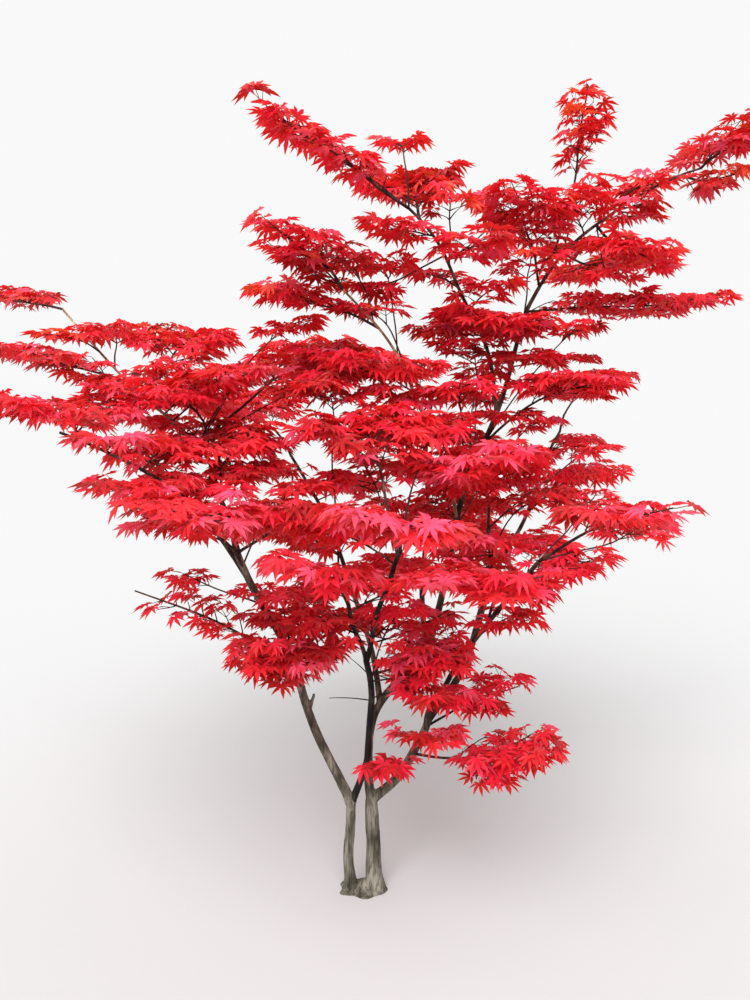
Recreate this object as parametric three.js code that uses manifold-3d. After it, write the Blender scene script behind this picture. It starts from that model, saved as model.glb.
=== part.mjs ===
// A young Japanese maple in red leaf: two stems on one root flare, boughs that fork upward and outward,
// and flat tiers of lobed leaves. Millimetres, +Z up. The origin is on the ground between the two stems,
// +X to the right and +Y away from the side that the crown is seen from.
import * as THREE from "three";
import { mergeVertices } from "three/addons/utils/BufferGeometryUtils.js";
import Module from "manifold-3d";

const wasm = await Module();
wasm.setup();

// Foot of the plant
const GAP = 0.3; // clear air between two solids that meet
const WELD = 0.02; // corners of a solid nearer than this become one
const STEM_SPACING = 71; // between the centres of the two stems at the ground
const FLARE = { length: 128, width: 88, height: 34 }; // the mound of root that joins the stems
const FLARE_SPREAD = 0.5; // share by which a stem is wider at the ground
const FLARE_DEPTH = 30; // height over which that spread dies away
const BELOW_GROUND = 25; // how far the foot is modelled down before the flat cut

// Limbs
const SWAY = 0.012; // wander of a limb from its smooth bend, as a share of its length
const SWAY_TURNS = [9, 7]; // radians that the wander turns through along the limb, sideways and up
const COLLAR = 0.22; // share by which a bough is thicker where it leaves another
const COLLAR_LENGTH = 3; // how far that reaches, in radii of the limb
const LIMB_STEP = 150; // length of a limb's straight stretches
const STEM_FACETS = 6; // straight stretches of the two stems at the foot
const THICK = 9; // a limb with a radius above this has eight sides and others have six
const STUB = { at: 0.36, way: [-9, 60, 62], radii: [5, 3.6] }; // a dead stub on left_bough

// Foliage
const LEAF = { reach: 116, thickness: 7, droop: 0.15 }; // reach is from the stalk to the longest tip
const LEAF_SHRINK = [1, 0.84, 0.7, 0.58]; // sizes that are tried in turn until a leaf fits
const LEAF_PITCH = [5, 26]; // degrees that a leaf hangs below level
const LEAF_TURN = 14; // most degrees that it turns from the way of its twig
const LEAF_ROLL = 14; // most degrees that it leans to a side
const STEM_RADII = [6, 3.6]; // the stem of a mass, at its base and at its tip
const STEM_STEPS = 4; // straight stretches that a stem is made of
const STEM_BEND = [0.35, 0.3]; // its bend is before and below the middle by these shares of the half sizes
const STEM_END = [0.25, 0.9]; // nearest and furthest end beyond the middle, as shares of the half length
const TWIG_RADII = [1.8, 1.2];
const TWIG_ANGLE = [44, 70]; // degrees between a twig and its stem
const TWIG_LEAN = 70; // most degrees that a twig leans out of the plane of a round space
const NODE_SPACING = 88; // between the pairs of twigs on a stem
const FEWEST_PAIRS = 2;
const PAIR_PLACE = 0.4; // where a pair stands in its own stretch of the stem
const LAST_PAIR = 0.92; // share of the stem at which the stretches end
const INSIDE = 0.94; // the stem is taken as inside its space when it measures less than this
const SHORTEST_TWIG = 22;
const FILL = [0.88, 0.98]; // share of the way to the rim that a twig and its leaf take up
const SIDE_LEAF = { from: 90, at: 0.5, length: 34, angle: [50, 75] }; // on a twig longer than from
const TRIES = 6; // times that a twig is bent another way when it doesn't fit
const MARGIN = 0.06; // what a mass keeps from the border with the next, as a share of its size
const LIMB_CLEARANCE = 11; // between a leaf's ribs and any limb
const TWIG_CLEARANCE = 5;
const BLADE_CLEARANCE = 8; // between two leaves of a mass that lie over each other
const RIM_CLEARANCE = 0.06; // between a leaf's rim and what passes it, as a share of its reach
const OWN_CLEARANCE = 3; // between a leaf's lobes and the twigs of its own mass
const BLADE_PARTS = [0.25, 0.5, 0.75, 1]; // where a blade is tested, from its stalk to its rim
const LOBE_PARTS = [0.6, 0.8, 1];
const TWIG_PARTS = [0.3, 0.6, 0.8, 1];
const MARCH = 4; // length of the steps in which the way to the rim is measured
const SEED_STEP = 97; // between the seeds of one mass and the next
const SEED = 4;

// Each limb starts on another one, at a share of its length. Its way is a heading, which turns from +X
// towards +Y as seen from above, a rise from level, both in degrees, and a length. Bow moves the middle of
// the limb sideways and up.
const LIMBS = {
  trunk: { foot: STEM_SPACING / 2, way: [127, 86, 270], bow: [0, 0], radii: [24, 19] },
  left_stem: { foot: -STEM_SPACING / 2, way: [-77, 88, 270], bow: [-5, 5], radii: [16, 14] },
  left_bough: { from: "left_stem", at: 1, way: [-137, 65, 870], bow: [-45, 25], radii: [14, 9] },
  left_outer: { from: "left_bough", at: 0.85, way: [-171, 42, 610], bow: [45, 70], radii: [6.5, 3.5] },
  left_middle: { from: "left_bough", at: 1, way: [117, 39, 410], bow: [0, 15], radii: [8, 5] },
  left_upper: { from: "left_middle", at: 0.9, way: [151, 37, 670], bow: [0, -15], radii: [4, 3] },
  centre_bough: { from: "left_stem", at: 1, way: [-74, 71, 510], bow: [35, 5], radii: [10, 8] },
  centre_left: { from: "centre_bough", at: 1, way: [-108, 51, 320], bow: [-5, 15], radii: [6, 4.5] },
  centre_right: { from: "centre_bough", at: 1, way: [-76, 48, 480], bow: [5, 25], radii: [7, 5] },
  inner_bough: { from: "trunk", at: 1, way: [28, 66, 450], bow: [25, 70], radii: [13, 11] },
  leader: { from: "inner_bough", at: 1, way: [33, 70, 1080], bow: [10, 5], radii: [11, 6] },
  leader_right: { from: "leader", at: 1, way: [-12, 39, 620], bow: [0, 70], radii: [6, 3] },
  leader_left: { from: "leader", at: 0.7, way: [-128, 48, 690], bow: [10, 70], radii: [6, 3.5] },
  upper_left: { from: "leader", at: 0.38, way: [-145, 58, 760], bow: [20, 55], radii: [5, 3] },
  right_bough: { from: "trunk", at: 1, way: [-15, 58, 320], bow: [10, -25], radii: [14, 11] },
  right_outer: { from: "right_bough", at: 1, way: [10, 73, 560], bow: [35, -75], radii: [11, 6] },
  right_front: { from: "right_bough", at: 1, way: [-56, 52, 660], bow: [10, 25], radii: [8, 5] },
  back_left: { from: "inner_bough", at: 0.6, way: [120, 48, 930], bow: [-50, 5], radii: [9, 5] },
  back_right: { from: "right_outer", at: 0.4, way: [57, 41, 890], bow: [25, -25], radii: [8, 4.5] },
  back_centre: { from: "inner_bough", at: 1, way: [85, 50, 960], bow: [15, -5], radii: [9, 5] },
};

// Each mass of leaves fills a flat space. Its stem leaves the limb at a share of the limb's length, and
// its way leads from there to the middle of the space. Tilt lifts the far end of the space, and size is
// its length along the heading, its width and its thickness.
const MASSES = {
  top: { on: "leader_right", at: 0.2, way: [24, 77, 430], tilt: 80, size: [310, 190, 190] },
  right_tip: { on: "leader_right", at: 1, way: [-11, 39, 120], tilt: 10, size: [460, 360, 150] },
  right_shoulder: { on: "leader_right", at: 0.5, way: [-68, -29, 200], tilt: -8, size: [360, 340, 170] },
  right_shelf: { on: "leader", at: 1, way: [0, 5, 350], tilt: 2, size: [660, 300, 120] },
  crown_centre: { on: "leader_right", at: 0.12, way: [-116, 46, 260], tilt: 16, size: [380, 360, 180] },
  crown_back: { on: "leader_right", at: 0.3, way: [60, 5, 420], tilt: 5, size: [500, 420, 170] },
  crown_inner: { on: "leader", at: 0.93, way: [-119, 6, 250], tilt: 4, size: [440, 400, 140] },
  upper_left_cloud: { on: "leader_left", at: 0.94, way: [96, 42, 195], tilt: 10, size: [400, 340, 180] },
  upper_left_tip: { on: "leader_left", at: 1, way: [-142, 23, 295], tilt: 15, size: [450, 240, 130] },
  left_high: { on: "upper_left", at: 1, way: [-130, 39, 125], tilt: 14, size: [430, 310, 120] },
  left_high_low: { on: "upper_left", at: 0.82, way: [157, 24, 245], tilt: 4, size: [440, 280, 110] },
  left_far_high: { on: "left_upper", at: 1, way: [155, 14, 230], tilt: 6, size: [380, 320, 120] },
  left_far_mid: { on: "left_upper", at: 0.5, way: [-145, 19, 235], tilt: 4, size: [420, 300, 120] },
  left_tier: { on: "left_upper", at: 0.35, way: [75, 43, 265], tilt: 8, size: [460, 420, 140] },
  left_tier_top: { on: "left_middle", at: 1, way: [47, 33, 465], tilt: 6, size: [500, 460, 190] },
  left_mass: { on: "left_middle", at: 0.85, way: [171, 73, 190], tilt: 4, size: [560, 460, 160] },
  left_low_mass: { on: "left_middle", at: 0.4, way: [108, 84, 150], tilt: 2, size: [540, 440, 170] },
  left_tip: { on: "left_outer", at: 0.96, way: [177, 80, 55], tilt: 8, size: [440, 400, 140] },
  left_front: { on: "left_bough", at: 0.93, way: [-103, 39, 310], tilt: 0, size: [450, 380, 140] },
  left_front_inner: { on: "left_bough", at: 1, way: [-45, 28, 250], tilt: 4, size: [380, 380, 150] },
  low_left: { on: "left_bough", at: 0.55, way: [176, 30, 335], tilt: 12, size: [520, 220, 150] },
  lower_left: { on: "left_bough", at: 0.45, way: [-93, 46, 205], tilt: 6, size: [340, 380, 240] },
  centre_left_mass: { on: "centre_left", at: 1, way: [-97, 23, 220], tilt: 2, size: [290, 290, 140] },
  centre_front: { on: "centre_right", at: 1, way: [-95, 24, 260], tilt: 4, size: [360, 360, 150] },
  centre_top: { on: "centre_right", at: 0.94, way: [107, 52, 340], tilt: 6, size: [420, 420, 180] },
  centre_low: { on: "centre_bough", at: 0.9, way: [-11, 27, 170], tilt: 4, size: [340, 320, 220] },
  right_low: { on: "right_bough", at: 0.9, way: [-32, 38, 235], tilt: 4, size: [260, 260, 150] },
  right_front_top: { on: "right_front", at: 1, way: [-58, 31, 270], tilt: 4, size: [320, 300, 120] },
  right_front_low: { on: "right_front", at: 0.88, way: [24, 22, 125], tilt: 2, size: [300, 320, 140] },
  right_centre: { on: "right_front", at: 0.6, way: [-88, 48, 205], tilt: 4, size: [350, 310, 150] },
  right_big: { on: "right_outer", at: 1, way: [-100, 42, 290], tilt: 8, size: [440, 440, 170] },
  right_side: { on: "back_right", at: 0.6, way: [-36, 41, 210], tilt: 4, size: [340, 340, 130] },
  right_tier: { on: "leader", at: 0.6, way: [-38, 38, 290], tilt: 2, size: [500, 400, 120] },
  low_right: { on: "right_bough", at: 0.6, way: [-31, 13, 290], tilt: 10, size: [350, 300, 200] },
  low_centre: { on: "right_bough", at: 0.3, way: [-102, 42, 165], tilt: 4, size: [220, 200, 160] },
  back_left_mass: { on: "back_left", at: 1, way: [145, 45, 260], tilt: 4, size: [580, 540, 180] },
  back_centre_mass: { on: "back_centre", at: 1, way: [145, 45, 220], tilt: 4, size: [600, 560, 200] },
  back_right_mass: { on: "back_right", at: 1, way: [54, 48, 225], tilt: 4, size: [520, 480, 150] },
  back_low: { on: "back_centre", at: 0.5, way: [65, -10, 280], tilt: 2, size: [500, 460, 170] },
  back_left_low: { on: "back_left", at: 0.55, way: [155, 15, 290], tilt: 2, size: [460, 440, 160] },
};

// A leaf's rim, as degrees from its midrib and share of its reach: pointed lobes with notches between.
const LOBE_TIPS = [[0, 1], [48, 0.92], [104, 0.62]];
const NOTCHES = [[25, 0.46], [76, 0.4]];
const STALK_NOTCH = [180, 0.14];

const BARK = { grey: 0x6b5d52, dark: 0x3a2f2b, tan: 0x9a7b63 };
const REDS = [0xc42f33, 0xb02226, 0xd6423f];

const lerp = THREE.MathUtils.lerp;
const radians = THREE.MathUtils.degToRad;

// A seeded source of numbers from 0 to 1
function seeded(seed) {
  let state = seed | 0;
  return () => {
    state = (state + 0x6d2b79f5) | 0;
    let t = Math.imul(state ^ (state >>> 15), 1 | state);
    t = (t + Math.imul(t ^ (t >>> 7), 61 | t)) ^ t;
    return ((t ^ (t >>> 14)) >>> 0) / 4294967296;
  };
}

// The three directions of something that points along a heading and a rise: ahead, to its left and up
function axesOf(heading, rise) {
  const turn = radians(heading);
  const lift = radians(rise);
  const ahead = new THREE.Vector3(Math.cos(turn), Math.sin(turn), 0).multiplyScalar(Math.cos(lift));
  ahead.z = Math.sin(lift);
  const side = new THREE.Vector3(-Math.sin(turn), Math.cos(turn), 0);
  const up = new THREE.Vector3().crossVectors(ahead, side);
  return { ahead, side, up };
}

function along(origin, direction, distance) {
  return origin.clone().addScaledVector(direction, distance);
}

// A limb's middle line: one smooth bend with a slight seeded wander that dies away at both ends
class LimbCurve extends THREE.Curve {
  constructor(start, control, end, axes, phase) {
    super();
    Object.assign(this, { start, control, end, axes, phase });
    this.sway = SWAY * start.distanceTo(end);
  }

  getPoint(t, target = new THREE.Vector3()) {
    const wander = this.sway * Math.sin(Math.PI * t);
    return target
      .copy(this.start)
      .multiplyScalar((1 - t) ** 2)
      .addScaledVector(this.control, 2 * t * (1 - t))
      .addScaledVector(this.end, t * t)
      .addScaledVector(this.axes.side, wander * Math.sin(SWAY_TURNS[0] * t + this.phase))
      .addScaledVector(this.axes.up, wander * Math.cos(SWAY_TURNS[1] * t + this.phase));
  }
}

function bentLimb(start, axes, length, bow, phase) {
  const end = along(start, axes.ahead, length);
  const control = start.clone().lerp(end, 0.5);
  control.addScaledVector(axes.side, 2 * bow[0]).addScaledVector(axes.up, 2 * bow[1]);
  return new LimbCurve(start, control, end, axes, phase);
}

// The point at a share of the way along a tube's straight stretches
function onTube(curve, steps, share) {
  const step = Math.min(steps - 1, Math.floor(share * steps));
  return curve.getPointAt(step / steps).lerp(curve.getPointAt((step + 1) / steps), share * steps - step);
}

// Solids

function solidFrom(geometry) {
  geometry.deleteAttribute("normal");
  geometry.deleteAttribute("uv");
  const merged = mergeVertices(geometry, 1e-4);
  return new wasm.Manifold(
    new wasm.Mesh({
      numProp: 3,
      vertProperties: Float32Array.from(merged.attributes.position.array),
      triVerts: Uint32Array.from(merged.index.array),
    }),
  );
}

// Moves every vertex of a geometry to where place puts it
function reshape(geometry, place) {
  const position = geometry.attributes.position;
  for (let i = 0; i < position.count; i += 1) {
    const point = place(position.getX(i), position.getY(i), position.getZ(i));
    position.setXYZ(i, point.x, point.y, point.z);
  }
  return geometry;
}

// A closed round tube along a curve, whose radius at a share of the way is given by a function
function tube(curve, radiusAt, sides, steps) {
  const frames = curve.computeFrenetFrames(steps);
  const geometry = new THREE.CylinderGeometry(1, 1, 1, sides, steps);
  return solidFrom(
    reshape(geometry, (x, y, z) => {
      const step = Math.round((0.5 - y) * steps);
      const share = step / steps;
      const radius = radiusAt(share);
      const point = curve.getPointAt(share);
      point.addScaledVector(frames.normals[step], x * radius);
      return point.addScaledVector(frames.binormals[step], z * radius);
    }),
  );
}

// A tapering tube with three sides, straight from one point to another
function twigSolid(twig) {
  return tube(new THREE.LineCurve3(twig.from, twig.to), (share) => lerp(...TWIG_RADII, share), 3, 1);
}

function largestBody(solid) {
  return solid.decompose().reduce((best, body) => (body.volume() > best.volume() ? body : best));
}

// Limbs

function flareAt(height) {
  return 1 + FLARE_SPREAD * Math.exp(-Math.max(0, height) / FLARE_DEPTH);
}

function limbRadius(limb, share) {
  const radius = lerp(...limb.radii, share);
  const length = limb.way[2];
  if (limb.foot !== undefined) {
    return radius * flareAt(share * (length + BELOW_GROUND) - BELOW_GROUND);
  }
  return radius * (1 + COLLAR * Math.exp((-share * length) / (COLLAR_LENGTH * limb.radii[0])));
}

function limbTube(limb, extra = 0) {
  const sides = limb.radii[0] > THICK ? 8 : 6;
  const steps = limb.foot === undefined ? Math.max(3, Math.round(limb.way[2] / LIMB_STEP)) : STEM_FACETS;
  return tube(limb.curve, (share) => limbRadius(limb, share) + extra, sides, steps);
}

// The mound of root at the foot, and everything under the ground for the flat cut
function rootMound(extra = 0) {
  const mound = reshape(new THREE.SphereGeometry(1, 10, 6), (x, y, z) => {
    return new THREE.Vector3(
      x * (FLARE.length / 2 + extra),
      z * (-FLARE.width / 2 - extra),
      y * (FLARE.height + extra),
    );
  });
  return solidFrom(mound);
}

function underground() {
  const [width, depth] = [4 * FLARE.length, 4 * BELOW_GROUND];
  const box = new THREE.BoxGeometry(width, width, depth);
  box.translate(0, 0, -depth / 2);
  return solidFrom(box);
}

function deadStub(bough) {
  const [heading, rise, length] = STUB.way;
  const base = bough.curve.getPoint(STUB.at);
  const tip = along(base, axesOf(heading, rise).ahead, length);
  return tube(new THREE.LineCurve3(base, tip), (share) => lerp(...STUB.radii, share), 6, 1);
}

const names = Object.keys(LIMBS);
for (const [index, name] of names.entries()) {
  const limb = LIMBS[name];
  const [heading, rise, length] = limb.way;
  const axes = axesOf(heading, rise);
  if (limb.from) {
    const start = LIMBS[limb.from].curve.getPoint(limb.at);
    limb.curve = bentLimb(start, axes, length, limb.bow, index);
  } else {
    const start = along(new THREE.Vector3(limb.foot, 0, 0), axes.ahead, -BELOW_GROUND);
    limb.curve = bentLimb(start, axes, length + BELOW_GROUND, limb.bow, index);
  }
}

// Cuts a solid clear of the shapes that came before it, and drops what falls off
const shapesSoFar = [];

function clearOfEarlier(solid) {
  let result = solid;
  for (const earlier of shapesSoFar) {
    if (boxesTouch(result.boundingBox(), earlier.boundingBox())) {
      result = largestBody(result.subtract(earlier));
    }
  }
  return result;
}

function boxesTouch(a, b) {
  return [0, 1, 2].every((k) => a.min[k] < b.max[k] && b.min[k] < a.max[k]);
}

const solids = {};
for (const name of names) {
  const limb = LIMBS[name];
  let solid = limbTube(limb);
  let outer = limbTube(limb, GAP);
  if (name === "trunk") {
    solid = solid.add(rootMound());
    outer = outer.add(rootMound(GAP));
  }
  if (name === "left_bough") {
    solid = solid.add(deadStub(limb));
  }
  if (limb.foot !== undefined) {
    solid = solid.subtract(underground());
  }
  solids[name] = clearOfEarlier(solid);
  shapesSoFar.push(outer);
}

// Masses of leaves

// The space that a mass may fill is a flat cushion. This measures a point against it: 0 in the middle and
// 1 on the surface.
function measure(space, point) {
  const offset = point.clone().sub(space.centre);
  const x = offset.dot(space.ahead) / space.half[0];
  const y = offset.dot(space.side) / space.half[1];
  const z = offset.dot(space.up) / space.half[2];
  return ((x ** 2 + y ** 2) ** 2 + z ** 4) ** 0.25;
}

// How far a point may go in a direction before it leaves the space
function distanceToRim(space, point, direction) {
  let distance = 0;
  while (measure(space, along(point, direction, distance)) < 1) {
    distance += MARCH;
  }
  return distance;
}

function spaceOf(mass) {
  const [heading, rise, out] = mass.way;
  const root = LIMBS[mass.on].curve.getPoint(mass.at);
  const centre = along(root, axesOf(heading, rise).ahead, out);
  return { root, centre, half: mass.size.map((size) => size / 2), ...axesOf(heading, mass.tilt) };
}

// The stem of a mass leaves the limb, bends into the plane of its space and ends where its last leaf,
// which lies level, just reaches the far rim
function stemOf(space, tilt, phase) {
  const last = space.half[0] - LEAF.reach * Math.cos(radians(tilt));
  const [nearest, furthest] = STEM_END.map((share) => share * space.half[0]);
  const end = along(space.centre, space.ahead, THREE.MathUtils.clamp(last, nearest, furthest));
  const control = along(space.centre, space.ahead, -STEM_BEND[0] * space.half[0]);
  control.addScaledVector(space.up, -STEM_BEND[1] * space.half[2]);
  return new LimbCurve(space.root, control, end, space, phase);
}

const massNames = Object.keys(MASSES);

// A curve as short straight stretches with their thickness
function stretchesOf(curve, radii, steps) {
  return Array.from({ length: steps }, (_, step) => {
    const line = new THREE.Line3(curve.getPoint(step / steps), curve.getPoint((step + 1) / steps));
    return { line, radius: lerp(...radii, step / steps) };
  });
}

function isClearOf(stretches, point, clearance) {
  const nearest = new THREE.Vector3();
  return stretches.every(({ line, radius }) => {
    line.closestPointToPoint(point, true, nearest);
    return nearest.distanceTo(point) > radius + clearance;
  });
}

// Every limb and every stem keeps the leaves of other masses away
const stretches = {};
for (const name of names) {
  stretches[name] = stretchesOf(LIMBS[name].curve, LIMBS[name].radii, 10);
}
for (const [index, name] of massNames.entries()) {
  const mass = MASSES[name];
  mass.space = spaceOf(mass);
  mass.stem = stemOf(mass.space, mass.tilt, names.length + index);
  stretches[name] = stretchesOf(mass.stem, STEM_RADII, 8);
}

function isClear(name, point, clearance) {
  const others = Object.keys(stretches).filter((other) => other !== name);
  return others.every((other) => isClearOf(stretches[other], point, clearance));
}

// True where a point lies in a mass's own space and not in a neighbour's
function isOwn(name, point) {
  const own = measure(MASSES[name].space, point);
  if (own > 1) {
    return false;
  }
  return massNames.every((other) => other === name || measure(MASSES[other].space, point) > own + MARGIN);
}

function leafPoint(leaf, degrees, share, height = 0) {
  const reach = LEAF.reach * leaf.scale;
  const { ahead, side, up } = leaf.axes;
  return leaf.hub
    .clone()
    .addScaledVector(ahead, Math.cos(radians(degrees)) * share * reach)
    .addScaledVector(side, Math.sin(radians(degrees)) * share * reach)
    .addScaledVector(up, height - LEAF.droop * share * share * reach);
}

// The points of the rim on one half of the leaf, and then on the whole of it in order
const HALF_RIM = [LOBE_TIPS[0], NOTCHES[0], LOBE_TIPS[1], NOTCHES[1], LOBE_TIPS[2], STALK_NOTCH];
const RIM = [...HALF_RIM, ...HALF_RIM.slice(1, -1).reverse().map(([degrees, share]) => [-degrees, share])];

// True where a point comes close to a blade: within its rim and near its plane
function nearBlade(leaf, point) {
  const offset = point.clone().sub(leaf.hub);
  const x = offset.dot(leaf.axes.ahead);
  const y = offset.dot(leaf.axes.side);
  const reach = LEAF.reach * leaf.scale;
  const share = Math.hypot(x, y) / reach;
  const height = offset.dot(leaf.axes.up) + LEAF.droop * share * share * reach;
  return Math.abs(height) < BLADE_CLEARANCE && share < rimShare(Math.abs(Math.atan2(y, x))) + RIM_CLEARANCE;
}

// The reach of the rim at an angle from the midrib, along the straight edges between its points
function rimShare(angle) {
  const next = HALF_RIM.findIndex(([degrees]) => radians(degrees) >= angle);
  if (next < 1) {
    return HALF_RIM[0][1];
  }
  const [a, b] = [HALF_RIM[next - 1], HALF_RIM[next]].map(([degrees, share]) => [radians(degrees), share]);
  const wedge = a[1] * b[1] * Math.sin(b[0] - a[0]);
  return wedge / (a[1] * Math.sin(angle - a[0]) + b[1] * Math.sin(b[0] - angle));
}

// Points of the blade at some shares of the way from its stalk to its rim
function bladePoints(leaf, parts) {
  return RIM.flatMap(([degrees, share]) => parts.map((part) => leafPoint(leaf, degrees, part * share)));
}

function leafFits(name, growth, leaf) {
  const points = bladePoints(leaf, BLADE_PARTS);
  if (!points.every((point) => isOwn(name, point) && isClear(name, point, LIMB_CLEARANCE))) {
    return false;
  }
  const lobes = bladePoints(leaf, LOBE_PARTS);
  if (!lobes.every((point) => isClearOf(growth.stretches, point, OWN_CLEARANCE))) {
    return false;
  }
  return growth.leaves.every((other) => {
    const below = points.some((point) => nearBlade(other, point));
    return !below && !other.points.some((point) => nearBlade(leaf, point));
  });
}

function twigFits(name, growth, from, to) {
  return TWIG_PARTS.every((part) => {
    const point = from.clone().lerp(to, part);
    if (!isOwn(name, point) || !isClear(name, point, TWIG_CLEARANCE)) {
      return false;
    }
    return !growth.leaves.some((leaf) => nearBlade(leaf, point));
  });
}

// A leaf at the end of a twig, turned the way the twig goes, hanging a little and leaning to one side
function leafAt(hub, direction, random) {
  const heading = THREE.MathUtils.radToDeg(Math.atan2(direction.y, direction.x));
  const axes = axesOf(heading + lerp(-LEAF_TURN, LEAF_TURN, random()), -lerp(...LEAF_PITCH, random()));
  const roll = radians(lerp(-LEAF_ROLL, LEAF_ROLL, random()));
  axes.side.applyAxisAngle(axes.ahead, roll);
  axes.up.applyAxisAngle(axes.ahead, roll);
  return { hub: hub.clone(), axes, scale: 1 };
}

// Adds a leaf to a mass where it fits, trying smaller ones in turn
function addLeaf(name, growth, leaf) {
  for (const scale of LEAF_SHRINK) {
    leaf.scale = scale;
    if (leafFits(name, growth, leaf)) {
      growth.leaves.push({ ...leaf, points: bladePoints(leaf, BLADE_PARTS) });
      return true;
    }
  }
  return false;
}

// Adds a twig with its leaf where both fit. The twig runs on inside the blade, as far as its hub.
function growTwig(name, growth, from, direction, length, random) {
  const hub = along(from, direction, length);
  const leaf = leafAt(hub, direction, random);
  if (!twigFits(name, growth, from, hub) || !addLeaf(name, growth, leaf)) {
    return false;
  }
  growth.twigs.push({ from, to: hub });
  growth.stretches.push(...stretchesOf(new THREE.LineCurve3(from, hub), TWIG_RADII, 1));
  return true;
}

// The way a side twig goes: at an angle to the stem, and leaning out of the plane in a thick space
function sideways(space, tangent, hand, random) {
  const angle = radians(lerp(...TWIG_ANGLE, random()));
  const lean = radians(lerp(-TWIG_LEAN, TWIG_LEAN, random())) * Math.min(1, space.half[2] / space.half[1]);
  const direction = tangent.clone().multiplyScalar(Math.cos(angle));
  direction.addScaledVector(space.side, hand * Math.cos(lean) * Math.sin(angle));
  return direction.addScaledVector(space.up, Math.sin(lean) * Math.sin(angle)).normalize();
}

// Grows a mass: a leaf on the stem's tip, then pairs of twigs down the stem, each out to the rim of the
// space and ending in a leaf, with a second leaf half way along a long one
function growMass(name, index) {
  const { space, stem } = MASSES[name];
  const random = seeded(SEED + SEED_STEP * index);
  const growth = { twigs: [], leaves: [], stretches: [...stretches[name]] };
  addLeaf(name, growth, leafAt(stem.getPoint(1), stem.getTangent(1), random));
  let entry = 0;
  while (measure(space, onTube(stem, STEM_STEPS, entry)) > INSIDE) {
    entry += 0.02;
  }
  const inside = onTube(stem, STEM_STEPS, entry).distanceTo(stem.getPoint(1));
  const pairs = Math.max(FEWEST_PAIRS, Math.round(inside / NODE_SPACING));
  for (let pair = pairs - 1; pair >= 0; pair -= 1) {
    const share = lerp(entry, LAST_PAIR, (pair + PAIR_PLACE) / pairs);
    for (const hand of [-1, 1]) {
      growPairTwig(name, growth, share, hand, random);
    }
  }
  return growth;
}

// Grows one twig of a pair, bending it another way until it fits
function growPairTwig(name, growth, share, hand, random) {
  const { space, stem } = MASSES[name];
  const from = onTube(stem, STEM_STEPS, share);
  for (let attempt = 0; attempt < TRIES; attempt += 1) {
    const direction = sideways(space, stem.getTangentAt(share), hand, random);
    const room = distanceToRim(space, from, direction) * lerp(...FILL, random());
    const length = Math.max(SHORTEST_TWIG, room - LEAF.reach);
    if (growTwig(name, growth, from, direction, length, random)) {
      if (length > SIDE_LEAF.from) {
        const base = along(from, direction, SIDE_LEAF.at * length);
        const angle = radians(-hand * lerp(...SIDE_LEAF.angle, random()));
        const turned = direction.clone().applyAxisAngle(space.up, angle);
        growTwig(name, growth, base, turned, SIDE_LEAF.length, random);
      }
      return;
    }
  }
}

// A thin five-lobed blade: two low cones on one rim
function leafSolid(leaf) {
  const blade = reshape(new THREE.SphereGeometry(1, RIM.length, 2), (x, y, z) => {
    if (Math.abs(y) > 0.5) {
      return leafPoint(leaf, 0, 0, (Math.sign(y) * LEAF.thickness) / 2);
    }
    const step = Math.round((Math.atan2(z, -x) / (2 * Math.PI)) * RIM.length);
    const [degrees, share] = RIM[(step + RIM.length) % RIM.length];
    return leafPoint(leaf, degrees, share);
  });
  return solidFrom(blade);
}

// Joins a mass's stem, twigs and leaves, and cuts them clear of every limb and earlier stem
function massSolid(name, growth) {
  const stemTube = (extra) => {
    return tube(MASSES[name].stem, (share) => lerp(...STEM_RADII, share) + extra, 3, STEM_STEPS);
  };
  const parts = [stemTube(0), ...growth.twigs.map(twigSolid), ...growth.leaves.map(leafSolid)];
  const solid = clearOfEarlier(wasm.Manifold.union(parts));
  shapesSoFar.push(stemTube(GAP));
  return largestBody(solid);
}

const growths = massNames.map(growMass);
for (const [index, name] of massNames.entries()) {
  solids[name] = massSolid(name, growths[index]);
}

// Scene graph

// Joins corners that lie within a hair of each other, and drops the triangles that this closes up
function welded(geometry) {
  const merged = mergeVertices(geometry, WELD);
  const corners = Array.from(merged.index.array);
  const kept = [];
  for (let i = 0; i < corners.length; i += 3) {
    const triangle = corners.slice(i, i + 3);
    if (new Set(triangle).size === 3) {
      kept.push(...triangle);
    }
  }
  merged.setIndex(kept);
  return merged;
}

function meshOf(name, solid, color, roughness) {
  const { vertProperties, triVerts } = solid.getMesh();
  const seamed = new THREE.BufferGeometry();
  seamed.setAttribute("position", new THREE.BufferAttribute(vertProperties, 3));
  seamed.setIndex(new THREE.BufferAttribute(triVerts, 1));
  const geometry = welded(seamed);
  geometry.computeVertexNormals();
  const material = new THREE.MeshStandardMaterial({ color, roughness, metalness: 0 });
  const mesh = new THREE.Mesh(geometry, material);
  mesh.name = name;
  return mesh;
}

function barkOf(name) {
  if (name.startsWith("centre")) {
    return BARK.dark;
  }
  return name.endsWith("upper") || name === "upper_left" ? BARK.tan : BARK.grey;
}

const tree = new THREE.Group();
for (const name of names) {
  tree.add(meshOf(name, solids[name], barkOf(name), 0.9));
}
for (const [index, name] of massNames.entries()) {
  tree.add(meshOf(name, solids[name], REDS[index % REDS.length], 0.7));
}

export default tree;
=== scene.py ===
import bmesh
import bpy
import itertools
import math
import random
import numpy as np
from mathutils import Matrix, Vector, noise


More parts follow.
